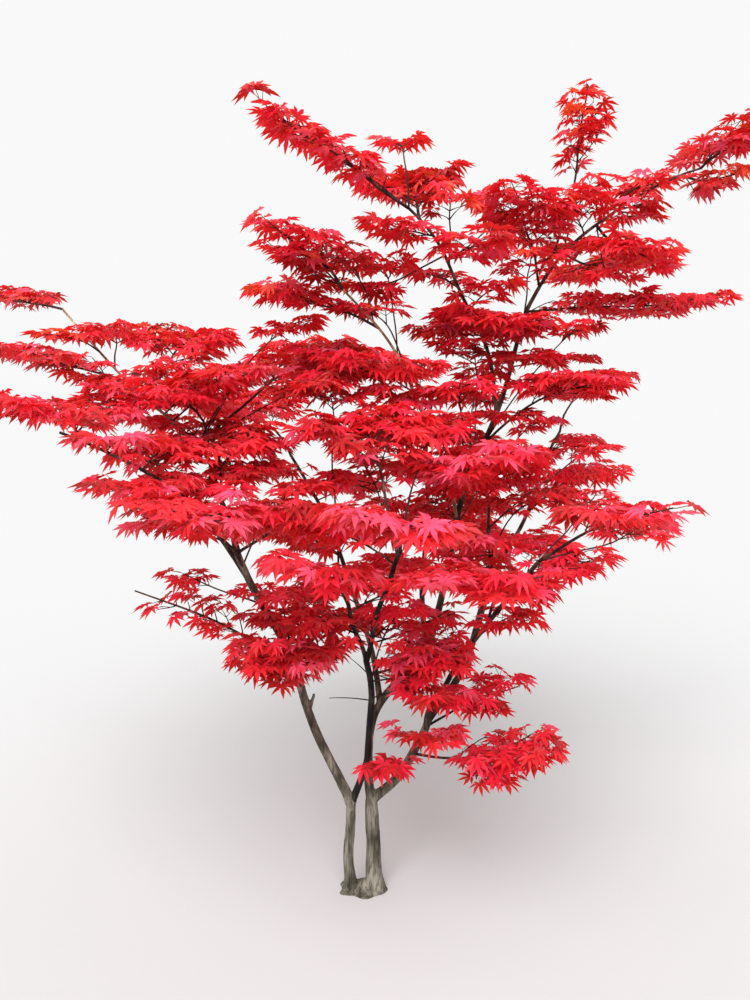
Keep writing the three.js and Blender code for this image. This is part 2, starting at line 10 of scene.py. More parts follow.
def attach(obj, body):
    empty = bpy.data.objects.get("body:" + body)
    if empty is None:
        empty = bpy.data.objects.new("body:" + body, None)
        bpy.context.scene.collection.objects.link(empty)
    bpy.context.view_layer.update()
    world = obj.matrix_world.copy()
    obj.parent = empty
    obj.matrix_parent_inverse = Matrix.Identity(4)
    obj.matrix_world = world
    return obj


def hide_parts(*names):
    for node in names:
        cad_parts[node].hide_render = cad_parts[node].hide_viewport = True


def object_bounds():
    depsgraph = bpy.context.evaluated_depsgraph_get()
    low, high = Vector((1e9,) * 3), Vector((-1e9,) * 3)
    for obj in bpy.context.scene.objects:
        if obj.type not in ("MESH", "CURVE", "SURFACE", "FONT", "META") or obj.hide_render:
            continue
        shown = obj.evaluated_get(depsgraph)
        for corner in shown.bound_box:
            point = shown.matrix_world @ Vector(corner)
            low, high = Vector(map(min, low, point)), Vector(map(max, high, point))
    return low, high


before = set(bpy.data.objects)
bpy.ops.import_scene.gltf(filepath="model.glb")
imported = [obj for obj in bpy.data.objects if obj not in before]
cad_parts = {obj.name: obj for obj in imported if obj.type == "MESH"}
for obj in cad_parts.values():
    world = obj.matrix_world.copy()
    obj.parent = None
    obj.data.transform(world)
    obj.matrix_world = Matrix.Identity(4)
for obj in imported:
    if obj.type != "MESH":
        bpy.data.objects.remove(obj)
cad_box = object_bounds()

MM = 0.001
SEED = 4
SEED_STEP = 97

# Limbs, as in the solids
BELOW_GROUND = 25  # how deep the stems start, before the cut at the ground
FLARE = (128, 88, 34)  # length, width and height of the mound of root that joins the stems
FLARE_SPREAD = 0.5  # how much thicker a stem is at the ground, in radii
FLARE_DEPTH = 30  # height over which that dies away
SKIRT = 1.12  # how much wider the foot of the mound spreads than the solid's
BUTTRESSES = 5
SWAY = 0.012  # wander of a limb, in shares of its length
SWAY_TURNS = (9, 7)  # radians that the wander goes through to the side and up
CURVE_STEPS = 200  # by which a curve's length is measured
TANGENT_STEP = 0.01
COLLAR = 0.22  # how much thicker a limb is where it starts, in radii
COLLAR_LENGTH = 3  # radii over which that dies away
STUB = (0.36, -9, 74, 58, (6, 4.4))  # place on left_bough, heading, rise, length and radii

# Each limb: what it starts on and where along it, heading, rise, length, bow and radii. The two stems
# start on the ground at a distance along X.
LIMBS = {
    "trunk": (None, 35.5, 127, 86, 270, (0, 0), (24, 19)),
    "left_stem": (None, -35.5, -77, 88, 270, (-5, 5), (16, 14)),
    "left_bough": ("left_stem", 1, -137, 65, 870, (-45, 25), (14, 9)),
    "left_outer": ("left_bough", 0.85, -171, 42, 610, (45, 70), (6.5, 3.5)),
    "left_middle": ("left_bough", 1, 117, 39, 410, (0, 15), (8, 5)),
    "left_upper": ("left_middle", 0.9, 151, 37, 670, (0, -15), (4, 3)),
    "centre_bough": ("left_stem", 1, -74, 71, 510, (35, 5), (10, 8)),
    "centre_left": ("centre_bough", 1, -108, 51, 320, (-5, 15), (6, 4.5)),
    "centre_right": ("centre_bough", 1, -76, 48, 480, (5, 25), (7, 5)),
    "inner_bough": ("trunk", 1, 28, 66, 450, (25, 70), (13, 11)),
    "leader": ("inner_bough", 1, 33, 70, 1080, (10, 5), (11, 6)),
    "leader_right": ("leader", 1, -12, 39, 620, (0, 70), (6, 3)),
    "leader_left": ("leader", 0.7, -128, 48, 690, (10, 70), (6, 3.5)),
    "upper_left": ("leader", 0.38, -145, 58, 760, (20, 55), (5, 3)),
    "right_bough": ("trunk", 1, -15, 58, 320, (10, -25), (14, 11)),
    "right_outer": ("right_bough", 1, 10, 73, 560, (35, -75), (11, 6)),
    "right_front": ("right_bough", 1, -56, 52, 660, (10, 25), (8, 5)),
    "back_left": ("inner_bough", 0.6, 120, 48, 930, (-50, 5), (9, 5)),
    "back_right": ("right_outer", 0.4, 57, 41, 890, (25, -25), (8, 4.5)),
    "back_centre": ("inner_bough", 1, 85, 50, 960, (15, -5), (9, 5)),
}

# Each mass of leaves: its limb and the place on it, heading, rise and distance to the middle of its
# space, the tilt of the space and its length, width and thickness
MASSES = {
    "top": ("leader_right", 0.2, 24, 77, 430, 80, (310, 190, 190)),
    "right_tip": ("leader_right", 1, -11, 39, 120, 10, (460, 360, 150)),
    "right_shoulder": ("leader_right", 0.5, -68, -29, 200, -8, (360, 340, 170)),
    "right_shelf": ("leader", 1, 0, 5, 350, 2, (660, 300, 120)),
    "crown_centre": ("leader_right", 0.12, -116, 46, 260, 16, (380, 360, 180)),
    "crown_back": ("leader_right", 0.3, 60, 5, 420, 5, (500, 420, 170)),
    "crown_inner": ("leader", 0.93, -119, 6, 250, 4, (440, 400, 140)),
    "upper_left_cloud": ("leader_left", 0.94, 96, 42, 195, 10, (400, 340, 180)),
    "upper_left_tip": ("leader_left", 1, -142, 23, 295, 15, (450, 240, 130)),
    "left_high": ("upper_left", 1, -130, 39, 125, 14, (430, 310, 120)),
    "left_high_low": ("upper_left", 0.82, 157, 24, 245, 4, (440, 280, 110)),
    "left_far_high": ("left_upper", 1, 155, 14, 230, 6, (380, 320, 120)),
    "left_far_mid": ("left_upper", 0.5, -145, 19, 235, 4, (420, 300, 120)),
    "left_tier": ("left_upper", 0.35, 75, 43, 265, 8, (460, 420, 140)),
    "left_tier_top": ("left_middle", 1, 47, 33, 465, 6, (500, 460, 190)),
    "left_mass": ("left_middle", 0.85, 171, 73, 190, 4, (560, 460, 160)),
    "left_low_mass": ("left_middle", 0.4, 108, 84, 150, 2, (540, 440, 170)),
    "left_tip": ("left_outer", 0.96, 177, 80, 55, 8, (440, 400, 140)),
    "left_front": ("left_bough", 0.93, -103, 39, 310, 0, (450, 380, 140)),
    "left_front_inner": ("left_bough", 1, -45, 28, 250, 4, (380, 380, 150)),
    "low_left": ("left_bough", 0.55, 176, 30, 335, 12, (520, 220, 150)),
    "lower_left": ("left_bough", 0.45, -93, 46, 205, 6, (340, 380, 240)),
    "centre_left_mass": ("centre_left", 1, -97, 23, 220, 2, (290, 290, 140)),
    "centre_front": ("centre_right", 1, -95, 24, 260, 4, (360, 360, 150)),
    "centre_top": ("centre_right", 0.94, 107, 52, 340, 6, (420, 420, 180)),
    "centre_low": ("centre_bough", 0.9, -11, 27, 170, 4, (340, 320, 220)),
    "right_low": ("right_bough", 0.9, -32, 38, 235, 4, (260, 260, 150)),
    "right_front_top": ("right_front", 1, -58, 31, 270, 4, (320, 300, 120)),
    "right_front_low": ("right_front", 0.88, 24, 22, 125, 2, (300, 320, 140)),
    "right_centre": ("right_front", 0.6, -88, 48, 205, 4, (350, 310, 150)),
    "right_big": ("right_outer", 1, -100, 42, 290, 8, (440, 440, 170)),
    "right_side": ("back_right", 0.6, -36, 41, 210, 4, (340, 340, 130)),
    "right_tier": ("leader", 0.6, -38, 38, 290, 2, (500, 400, 120)),
    "low_right": ("right_bough", 0.6, -31, 13, 290, 10, (350, 300, 200)),
    "low_centre": ("right_bough", 0.3, -102, 42, 165, 4, (220, 200, 160)),
    "back_left_mass": ("back_left", 1, 145, 45, 260, 4, (580, 540, 180)),
    "back_centre_mass": ("back_centre", 1, 145, 45, 220, 4, (600, 560, 200)),
    "back_right_mass": ("back_right", 1, 54, 48, 225, 4, (520, 480, 150)),
    "back_low": ("back_centre", 0.5, 65, -10, 280, 2, (500, 460, 170)),
    "back_left_low": ("back_left", 0.55, 155, 15, 290, 2, (460, 440, 160)),
}

# Masses that the photo shows thin, with the share of their leaves that is kept
THIN = {
    "low_left": 0.3,
    "left_high": 0.85,
    "left_high_low": 0.85,
    "lower_left": 0.9,
    "low_right": 0.9,
    "left_far_high": 0.6,
    "left_far_mid": 0.7,
    "right_shelf": 0.85,
    "right_centre": 0.8,
    "back_right_mass": 0.8,
    "right_tier": 0.85,
}

# Small sprays among the masses, in the same form but all with one tilt
SPRAY_TILT = 4
SPRAYS = {
    "over_cloud": ("leader_left", 1, 108, 73, 180, (170, 150, 70)),
    "over_shoulder": ("leader_right", 0.62, -79, 0, 110, (210, 190, 120)),
    "under_top": ("leader_right", 0.3, -37, 69, 190, (180, 160, 80)),
    "under_tip": ("leader_right", 0.92, -10, -8, 90, (270, 220, 80)),
    "left_behind": ("left_middle", 1, 64, 46, 240, (330, 290, 110)),
    "centre_behind": ("upper_left", 0.62, 159, 13, 220, (300, 260, 110)),
    "centre_high": ("upper_left", 0.4, -127, 31, 170, (210, 190, 120)),
    "leader_front": ("leader", 0.45, -99, 53, 400, (200, 180, 100)),
    "low_fork": ("right_bough", 0.5, -77, 40, 280, (230, 200, 100)),
    "low_left_top": ("left_bough", 0.8, 153, 12, 230, (140, 130, 80)),
    "lower_left_back": ("left_bough", 0.52, -110, 66, 200, (190, 190, 110)),
    "centre_under": ("centre_left", 0.5, 171, -10, 20, (290, 250, 130)),
    "centre_fork": ("centre_bough", 0.86, -30, 22, 170, (170, 160, 140)),
    "centre_over": ("upper_left", 0.15, -127, 28, 370, (270, 230, 130)),
    "left_high_back": ("upper_left", 0.85, -180, 68, 170, (240, 210, 120)),
    "crown_under": ("leader", 0.98, -96, 40, 220, (240, 210, 100)),
    "left_under": ("left_upper", 0.25, -22, 34, 200, (260, 240, 90)),
    "left_inner": ("left_middle", 0.7, 129, 40, 170, (300, 260, 100)),
    "left_inner_low": ("left_middle", 0.4, 47, 42, 110, (260, 230, 90)),
    "middle_high": ("upper_left", 0.55, -130, 20, 190, (260, 240, 110)),
    "middle_right": ("leader", 0.5, 57, 81, 320, (240, 220, 120)),
    "middle": ("centre_right", 1, 103, 25, 340, (280, 250, 110)),
    "middle_back": ("upper_left", 0.08, -129, 38, 160, (260, 240, 110)),
    "lower_middle": ("centre_left", 0.35, 117, 6, 130, (290, 260, 130)),
    "lower_middle_right": ("centre_right", 0.2, 56, 15, 90, (260, 230, 110)),
    "right_fork": ("right_bough", 0.85, -91, 42, 290, (230, 210, 110)),
    "right_upper": ("leader_right", 0.62, 28, -13, 50, (210, 190, 100)),
    "far_left_upper": ("left_outer", 0.95, 82, 24, 210, (260, 230, 90)),
    "upper_middle": ("leader_left", 0.75, 161, -18, 220, (220, 200, 90)),
    "lower_middle_left": ("left_bough", 0.5, -101, 60, 220, (320, 290, 140)),
    "centre_fork_top": ("centre_right", 0.15, 35, 10, 200, (240, 220, 110)),
    "left_centre": ("left_middle", 1, -12, 26, 400, (330, 290, 120)),
    "left_centre_high": ("left_middle", 1, 32, 53, 410, (300, 270, 110)),
    "left_upper_fill": ("left_upper", 0.2, -31, 29, 250, (330, 290, 120)),
    "middle_top": ("centre_right", 1, 78, 35, 440, (300, 270, 120)),
    "middle_upper": ("upper_left", 0.4, -133, 33, 280, (230, 210, 90)),
    "left_lower_edge": ("left_outer", 0.35, 158, -3, 150, (190, 170, 80)),
    "right_notch": ("right_outer", 0.85, -54, 57, 210, (280, 260, 100)),
    "cloud_low": ("leader_left", 0.85, -159, 10, 90, (230, 200, 80)),
    "cloud_right": ("leader_left", 0.7, -95, 65, 150, (180, 160, 70)),
    "shoulder_top": ("leader_right", 0.62, 6, 54, 80, (260, 230, 90)),
    "shoulder_low": ("leader_right", 0.5, -80, -58, 190, (230, 190, 70)),
    "left_high_end": ("upper_left", 0.7, -132, 77, 240, (230, 200, 90)),
    "left_mid_gap": ("upper_left", 0.62, -156, 62, 190, (290, 250, 90)),
    "leader_mid": ("leader", 0.55, -100, 74, 340, (280, 240, 100)),
    "middle_gap": ("centre_left", 1, 96, 59, 510, (320, 270, 90)),
    "leader_low": ("leader", 0.35, -6, 57, 380, (230, 200, 90)),
    "left_far_edge": ("left_upper", 0.6, 105, 36, 190, (260, 220, 80)),
    "centre_gap": ("centre_left", 0.8, 130, 74, 140, (230, 200, 80)),
    "lower_left_gap": ("left_bough", 0.6, -128, 75, 180, (270, 240, 90)),
    "lower_mid_gap": ("centre_bough", 0.85, -55, 64, 250, (230, 200, 100)),
    "right_low_tier": ("right_front", 0.4, -39, 44, 160, (280, 240, 80)),
    "right_mid_gap": ("leader", 0.6, -22, 54, 410, (250, 210, 80)),
    "left_far_top": ("left_upper", 0.8, -17, 34, 50, (240, 200, 80)),
    "left_lower_rim": ("left_outer", 0.5, 130, 35, 130, (330, 280, 80)),
    "left_front_top": ("left_middle", 0.3, -129, 54, 70, (300, 260, 80)),
    "left_front_right": ("left_bough", 0.95, 1, 58, 230, (330, 270, 80)),
    "cloud_left": ("leader_left", 1, -144, 24, 180, (140, 130, 60)),
    "left_high_tip": ("upper_left", 1, -163, 42, 200, (140, 130, 60)),
    "right_side_end": ("right_outer", 1, 10, 38, 340, (190, 170, 70)),
    "right_low_edge": ("right_front", 1, 40, 4, 420, (240, 200, 80)),
    "right_low_top": ("right_front", 1, 57, 16, 370, (230, 190, 60)),
}

# More of them by chance: for each limb, the places of the first and last and their number
BETWEEN = {
    "left_outer": (0.2, 0.85, 5),
    "left_middle": (0.2, 0.95, 5),
    "left_upper": (0.12, 0.75, 5),
    "centre_left": (0.5, 0.95, 1),
    "centre_right": (0.5, 0.95, 2),
    "leader": (0.12, 1, 9),
    "leader_right": (0.15, 0.5, 2),
    "leader_left": (0.15, 0.75, 5),
    "upper_left": (0.2, 0.5, 3),
    "right_outer": (0.55, 0.95, 4),
    "right_front": (0.66, 0.95, 3),
    "back_left": (0.3, 0.95, 7),
    "back_right": (0.3, 0.95, 6),
    "back_centre": (0.3, 0.95, 8),
}
BETWEEN_SHIFT = (0.2, 0.8)  # place of a spray in its own stretch of the limb
BETWEEN_TURN = (45, 135)  # from the limb's heading, to each side in turn
BETWEEN_STRAY = (-20, 20)
BETWEEN_SIZE = ((190, 300), (170, 260), (60, 100))
BETWEEN_OUT = (0.42, 0.55)  # distance of the middle, as a share of the length
BETWEEN_RISE = (5, 30)
BETWEEN_TILT = (-6, 8)

# The spaces and the stem in each
UP = np.array([0.0, 0.0, 1.0])
NARROWING = 0.22  # how much narrower a space is at its far end
WAVES = (0.1, 0.09)  # heights of the two waves round the rim of a space
WAVE_TURNS = (3, 7)
WAVE_STEP = 1.7  # turn of the waves from one space to the next
SOLID_REACH = 116  # reach of a leaf of the solids, which sets where a stem ends
MOST_REACH = 0.75  # the most that it takes up, in half lengths of the space
STEM_END = (0.25, 0.9)  # nearest and farthest end of a stem, in half lengths
STEM_BEND = (0.35, 0.3)  # how far back and down a stem bends, in half lengths and half thicknesses
ROOM_STEPS = np.arange(0, 800, 8.0)  # distances at which the way out of a space is looked for

# What keeps clear of what
SEGMENTS = 12  # straight stretches that stand for a limb
OVERHANG = 20  # how far a leaf may stand out of the solids' box
STEM_CLEARANCE = 3
TWIG_CLEARANCE = 2
LEAF_CLEARANCE = 6
LEAF_SPACING = 19  # least distance between the middles of two leaves
SPRAY_KEEP = 0.76  # share of the leaves that a small spray keeps

# Twigs on a stem
STEM_SAMPLES = 60
STEM_CHECKS = (0.6, 0.8, 1)  # places on a stem that have to be clear of the limbs
STEM_RADII = (4.2, 2.2)
SPRAY_RADII = (2.6, 1.6)
STEM_RINGS = 12
STEM_NODES = 42  # between the pairs of twigs
ENTRY_DEPTH = 0.97  # how far in a stem has to be before twigs start
LAST_PAIR = 0.97
PAIR_SHIFT = 0.3
LAYER = 72  # thickness of one flat layer of twigs
LAYER_STRAY = (-20, 20)
LAYER_REACH = 0.7  # half widths of the space in which a twig gets to its layer
LEAN_STRAY = (-5, 5)
LEVELLING = 0.35  # how far a leaning twig bends back
TIP_TWIG_RADIUS = 2.0
SIDE_TWIG_RADIUS = 1.9
TWIG_ANGLE = (42, 68)

# Shoots on a twig
SHORTEST_TWIG = 14
TWIG_REACH = (0.66, 1)  # share of the room ahead
LEAF_ROOM = 1.2  # leaf reaches that are left free at its end
TWIG_LIFT = (-0.05, 0.05)
TWIG_STEPS = 3
TWIG_TAPER = 0.65
TWIG_NODES = 38
TIP_SHOOT = 18
TIP_SHOOT_RADIUS = 0.7  # of the twig's
SIDE_SHOOT_RADIUS = 0.6
SIDE_SHIFT = (0.2, 0.5)
SIDE_LEAN = (-14, 14)
SIDE_SHARE = (0.6, 0.95)
SIDE_SHORTENING = 0.55  # how much shorter side shoots are at the tip of a twig
SIDE_LENGTHS = (16, 85)
SHOOT_ANGLE = (38, 62)

# Leaves on a shoot
SHOOT_LIFT = (-0.16, 0.06)
SHOOT_STEPS = 2
SHOOT_TAPER = 0.6
LEAF_NODES = 36  # between the pairs of leaves
FIRST_PAIR = 0.75
TIP_GAP = 0.35
PAIR_ANGLE = (45, 75)
PAIR_STRAY = (-10, 10)
FAN_STRAY = (-9, 9)
FAN_ANGLE = 38
PETIOLE = (20, 36)
PETIOLE_LIFT = (-0.1, 0.25)
PETIOLE_RADII = (1.0, 0.8)
LEAF_REACH = (40, 54)  # from the stalk to the longest tip
LEAF_TURN = (-16, 16)
LEAF_HANG = (-16, 50, 6)  # least, most and usual slope of a leaf
LEAF_ROLL = 15
LEAF_SINK = 0.25  # how far the tips hang, in reaches
LEAF_SHOULDER = (0.7, 0.6)  # how far ahead and aside the outer lobes end, in reaches
LEAF_MIDDLE = 0.35
STRAY_TINTS = 0.3  # share of the leaves that may take another tint than their spray's


def lerp(a, b, share):
    return a + (b - a) * share


def unit(v):
    return v / np.linalg.norm(v)


def axes_of(heading, rise):
    """The directions ahead, to the left and up of something that points along a heading and a rise."""
    turn, lift = math.radians(heading), math.radians(rise)
    ahead = np.array([math.cos(turn) * math.cos(lift), math.sin(turn) * math.cos(lift), math.sin(lift)])
    side = np.array([-math.sin(turn), math.cos(turn), 0.0])
    return ahead, side, np.cross(ahead, side)


class Curve:
    """One smooth bend with a slight wander that dies away at both ends."""

    def __init__(self, start, control, end, side, up, phase):
        self.start, self.control, self.end = start, control, end
        self.side, self.up, self.phase = side, up, phase
        self.sway = SWAY * np.linalg.norm(end - start)
        self.table = self.at(np.linspace(0, 1, CURVE_STEPS + 1))
        steps = np.linalg.norm(np.diff(self.table, axis=0), axis=1)
        self.travel = np.concatenate([[0], np.cumsum(steps)])
        self.length = self.travel[-1]

    def at(self, t):
        t = np.atleast_1d(np.asarray(t, float))[:, None]
        wander = self.sway * np.sin(np.pi * t)
        points = self.start * (1 - t) ** 2 + self.control * 2 * t * (1 - t) + self.end * t * t
        points = points + wander * np.sin(SWAY_TURNS[0] * t + self.phase) * self.side
        return points + wander * np.cos(SWAY_TURNS[1] * t + self.phase) * self.up

    def along(self, share):
        """Points at shares of the length."""
        share = np.atleast_1d(np.asarray(share, float)) * self.length
        return np.stack([np.interp(share, self.travel, self.table[:, k]) for k in range(3)], axis=1)

    def tangent(self, share):
        a, b = self.along(np.clip([share - TANGENT_STEP, share + TANGENT_STEP], 0, 1))
        return unit(b - a)


def bent(start, axes, length, bow, phase):
    """A curve that starts along the first axis and bows out along the other two."""
    ahead, side, up = axes
    end = start + ahead * length
    control = (start + end) / 2 + side * 2 * bow[0] + up * 2 * bow[1]
    return Curve(start, control, end, side, up, phase)


def limb_curves():
    found = {}
    for index, (name, (parent, at, heading, rise, length, bow, _)) in enumerate(LIMBS.items()):
        axes = axes_of(heading, rise)
        if parent:
            found[name] = bent(found[parent].at(at)[0], axes, length, bow, index)
        else:
            foot = np.array([at, 0.0, 0.0]) - axes[0] * BELOW_GROUND
            found[name] = bent(foot, axes, length + BELOW_GROUND, bow, index)
    return found


curves = limb_curves()


def limb_radius(name, share):
    """Radius of a limb at a share of its length, with a collar at its foot or a flare at the ground."""
    parent, _, _, _, length, _, radii = LIMBS[name]
    radius = lerp(*radii, share)
    if parent:
        return radius * (1 + COLLAR * np.exp(-share * length / (COLLAR_LENGTH * radii[0])))
    height = np.maximum(0, share * (length + BELOW_GROUND) - BELOW_GROUND)
    return radius * (1 + FLARE_SPREAD * np.exp(-height / FLARE_DEPTH))


class Space:
    """A flat room that one spray fills, with the stem that leads into it."""

    def __init__(self, limb, at, heading, rise, out, tilt, size, phase):
        root = curves[limb].at(at)[0]
        self.centre = root + axes_of(heading, rise)[0] * out
        ahead, side, self.up = axes_of(heading, tilt)
        self.frame = np.stack([ahead, side, self.up])
        self.half = np.array(size) / 2
        self.phase = phase * WAVE_STEP
        length, _, thickness = self.half
        last = length - min(SOLID_REACH, length * MOST_REACH) * math.cos(math.radians(tilt))
        last = min(max(last, STEM_END[0] * length), STEM_END[1] * length)
        control = self.centre - ahead * STEM_BEND[0] * length - self.up * STEM_BEND[1] * thickness
        self.stem = Curve(root, control, self.centre + ahead * last, side, self.up, phase)

    def measure(self, points):
        """How far each point lies out in the space: 0 in the middle and 1 on the wavy surface."""
        local = (np.atleast_2d(points) - self.centre) @ self.frame.T / self.half
        across = local[:, 1] / (1 - NARROWING * np.clip(local[:, 0], 0, 1))
        turn = np.arctan2(across, local[:, 0])
        wave = 1 + WAVES[0] * np.sin(WAVE_TURNS[0] * turn + self.phase)
        wave = wave + WAVES[1] * np.sin(WAVE_TURNS[1] * turn + 2 * self.phase)
        level = (local[:, 0] ** 2 + across ** 2) * wave ** 2
        return (level ** 2 + local[:, 2] ** 4) ** 0.25

    def room(self, point, direction):
        """How far a point may go in a direction before it leaves the space."""
        inside = self.measure(point + ROOM_STEPS[:, None] * direction) < 1
        return ROOM_STEPS[np.argmin(inside)]


def spray_spaces():
    """The spaces of the masses and small sprays, then those that chance deals out between them."""
    found = {}
    rows = MASSES | {name: (*row[:5], SPRAY_TILT, row[5]) for name, row in SPRAYS.items()}
    for index, (name, row) in enumerate(rows.items()):
        found[name] = Space(*row, len(LIMBS) + index)
    rng = random.Random(SEED)
    for limb, (first, last, count) in BETWEEN.items():
        for k in range(count):
            at = lerp(first, last, (k + rng.uniform(*BETWEEN_SHIFT)) / count)
            turn = (-1) ** k * rng.uniform(*BETWEEN_TURN)
            heading = LIMBS[limb][2] + turn + rng.uniform(*BETWEEN_STRAY)
            size = tuple(rng.uniform(*span) for span in BETWEEN_SIZE)
            out = size[0] * rng.uniform(*BETWEEN_OUT)
            rise = rng.uniform(*BETWEEN_RISE)
            tilt = rng.uniform(*BETWEEN_TILT)
            found[f"{limb}_{k}"] = Space(limb, at, heading, rise, out, tilt, size, k)
    return found


spaces = spray_spaces()


def limb_segments():
    """Starts, ways and radii of the straight stretches that leaves keep away from."""
    starts, ways, sizes = [], [], []
    for name, curve in curves.items():
        points = curve.at(np.linspace(0, 1, SEGMENTS + 1))
        starts.append(points[:-1])
        ways.append(np.diff(points, axis=0))
        sizes.append(lerp(*LIMBS[name][6], np.arange(SEGMENTS) / SEGMENTS))
    return np.concatenate(starts), np.concatenate(ways), np.concatenate(sizes)


segment_start, segment_way, segment_radius = limb_segments()
segment_square = (segment_way ** 2).sum(axis=1)
low_corner = np.array(cad_box[0]) / MM - OVERHANG
high_corner = np.array(cad_box[1]) / MM + OVERHANG


def clear(points, clearance):
    """True where all the points keep away from every limb and stay in the plant's box."""
    if np.any(points < low_corner) or np.any(points > high_corner):
        return False
    offset = points[:, None, :] - segment_start[None]
    share = np.clip((offset * segment_way).sum(axis=2) / segment_square, 0, 1)
    gap = np.linalg.norm(offset - share[..., None] * segment_way, axis=2)
    return bool(np.all(gap > segment_radius + clearance))


# Tints: the base colour of each, and its weight where one is dealt out, which is a sum of shares of the
# measures of the place; the plain shares deal them at random and the others paint light and shade
TINTS = {
    # crimson: partly at random, partly painted shade low down, inside and far left, less in front
    "crimson": ((0.8, 0.01, 0.025), {"plain": 1, "inner": 0.4, "front": -0.5, "left": 1.3, "low": 2}),
    "red": ((0.94, 0.012, 0.053), {"plain": 1.9}),
    # scarlet: partly at random, partly painted light higher up, less far left
    "scarlet": ((0.98, 0.024, 0.05), {"plain": 1.1, "height": 0.8, "left": -0.7}),
    # rose: partly at random, partly painted highlight in front, less low down; its pink is partly painted
    # highlight
    "rose": ((0.99, 0.072, 0.18), {"plain": 0.9, "front": 1.2, "low": -2}),
    # orange_red: only at the top, painted light shining through the leaves
    "orange_red": ((0.98, 0.068, 0.04), {"top": 2.2}),
    # deep: partly at random, partly painted shade inside, low down and far left
    "deep": ((0.56, 0.008, 0.012), {"plain": 0.35, "shade": 1.4, "left": 0.4, "low": 2}),
}
# Where the tints' painted light and shade falls: by height, inside the crown, in front and far left
FULL_HEIGHT = 2370
INNER_SIZE = (500, 400)  # width and depth of the inside of the crown
FRONT_AT = 500
LEFT_AT = 900
TOP_ABOVE = 0.62  # of the full height
LOW_BELOW = 0.42
FRONT_ABOVE = 0.45


def measures_of(place):
    """How high, low, far in, far in front, far left and shaded a place is: the weights of the tints'
    painted light and shade.
    """
    height = place[2] / FULL_HEIGHT
    inner = math.exp(-((place[0] / INNER_SIZE[0]) ** 2 + (place[1] / INNER_SIZE[1]) ** 2))
    return {
        "plain": 1,
        "height": height,
        "top": max(0, height - TOP_ABOVE),
        "low": max(0, LOW_BELOW - height),
        "inner": inner,
        "shade": inner * (1 - height),
        "front": min(1, max(0, -place[1] / FRONT_AT)) * min(1, height / FRONT_ABOVE),
        "left": min(1, max(0, -place[0] / LEFT_AT)),
    }


def deal_tint(space, rng):
    """A tint for one spray: orange high up as painted light shining through, deeper low down, inside and to
    the left as painted shade, pinker in front as painted highlight.
    """
    measures = measures_of(space.centre)
    weights = [sum(share * measures[key] for key, share in shares.items()) for _, shares in TINTS.values()]
    return rng.choices(range(len(weights)), weights)[0]


# Growth, which fills these lists
tubes = {"twigs": [], "shoots": [], "petioles": []}
leaves = []
cells = {}


def crowded(middle):
    """True where another leaf is too near. Otherwise this one takes the place up."""
    key = tuple((middle // LEAF_SPACING).astype(int))
    for near in itertools.product(*[(k - 1, k, k + 1) for k in key]):
        for other in cells.get(near, ()):
            if np.linalg.norm(other - middle) < LEAF_SPACING:
                return True
    cells.setdefault(key, []).append(middle)
    return False


def leaf_axes(direction, rng):
    """A leaf turned the way its stalk goes, hanging and leaning a little."""
    heading = math.degrees(math.atan2(direction[1], direction[0])) + rng.uniform(*LEAF_TURN)
    ahead, side, up = axes_of(heading, -rng.triangular(*LEAF_HANG))
    roll = math.radians(rng.gauss(0, LEAF_ROLL))
    rolled_side = side * math.cos(roll) + up * math.sin(roll)
    return ahead, rolled_side, up * math.cos(roll) - side * math.sin(roll)


def add_leaf(state, node, direction, tint):
    """A petiole from a node and a leaf at its end, where both fit."""
    rng, space = state["rng"], state["space"]
    way = unit(direction + UP * rng.uniform(*PETIOLE_LIFT))
    hub = node + way * rng.uniform(*PETIOLE)
    ahead, side, up = leaf_axes(direction, rng)
    reach = rng.uniform(*LEAF_REACH)
    sink = -LEAF_SINK * reach * up
    forward, aside = LEAF_SHOULDER
    tips = np.array([
        hub,
        hub + ahead * reach + sink,
        hub + (ahead * forward + side * aside) * reach + sink,
        hub + (ahead * forward - side * aside) * reach + sink,
    ])
    kept = rng.random() <= state["keep"]
    if not kept or np.any(space.measure(tips[:state["inside"]]) > 1) or not clear(tips, LEAF_CLEARANCE):
        return
    if crowded(hub + ahead * LEAF_MIDDLE * reach):
        return
    if rng.random() < STRAY_TINTS:
        tint = deal_tint(space, rng)
    leaves.append((hub, ahead, side, up, reach, rng.randrange(TEMPLATES), tint))
    tubes["petioles"].append((np.array([node, hub]), PETIOLE_RADII))


def shoot_points(start, direction, length, lift, steps):
    """A shoot that starts along a direction and bends up or down towards its tip."""
    share = np.linspace(0, 1, steps + 1)[:, None]
    return start + direction * share * length + UP * lift * length * share ** 2


def fan(state, node, direction, angles, tint):
    """Leaves from one node, at angles to a shoot's direction."""
    across = unit(np.cross(state["space"].up, direction))
    for angle in angles:
        turn = math.radians(angle)
        add_leaf(state, node, direction * math.cos(turn) + across * math.sin(turn), tint)


def leafy_shoot(state, start, direction, length, radius, tint):
    """A last shoot: pairs of leaves down its length and three at its tip."""
    rng = state["rng"]
    lift = rng.uniform(*SHOOT_LIFT)
    points = shoot_points(start, direction, length, lift, SHOOT_STEPS)
    before = len(leaves)
    pairs = max(1, round(length / LEAF_NODES))
    for pair in range(pairs):
        share = (pair + FIRST_PAIR) / (pairs + TIP_GAP)
        node = shoot_points(start, direction, length * share, lift * share, 1)[1]
        angle = rng.uniform(*PAIR_ANGLE)
        fan(state, node, direction, (-angle, angle + rng.uniform(*PAIR_STRAY)), tint)
    turn = rng.uniform(*FAN_STRAY)
    fan(state, points[-1], direction, (turn, turn - FAN_ANGLE, turn + FAN_ANGLE), tint)
    if len(leaves) > before:
        tubes["shoots"].append((points, (radius, radius * SHOOT_TAPER)))


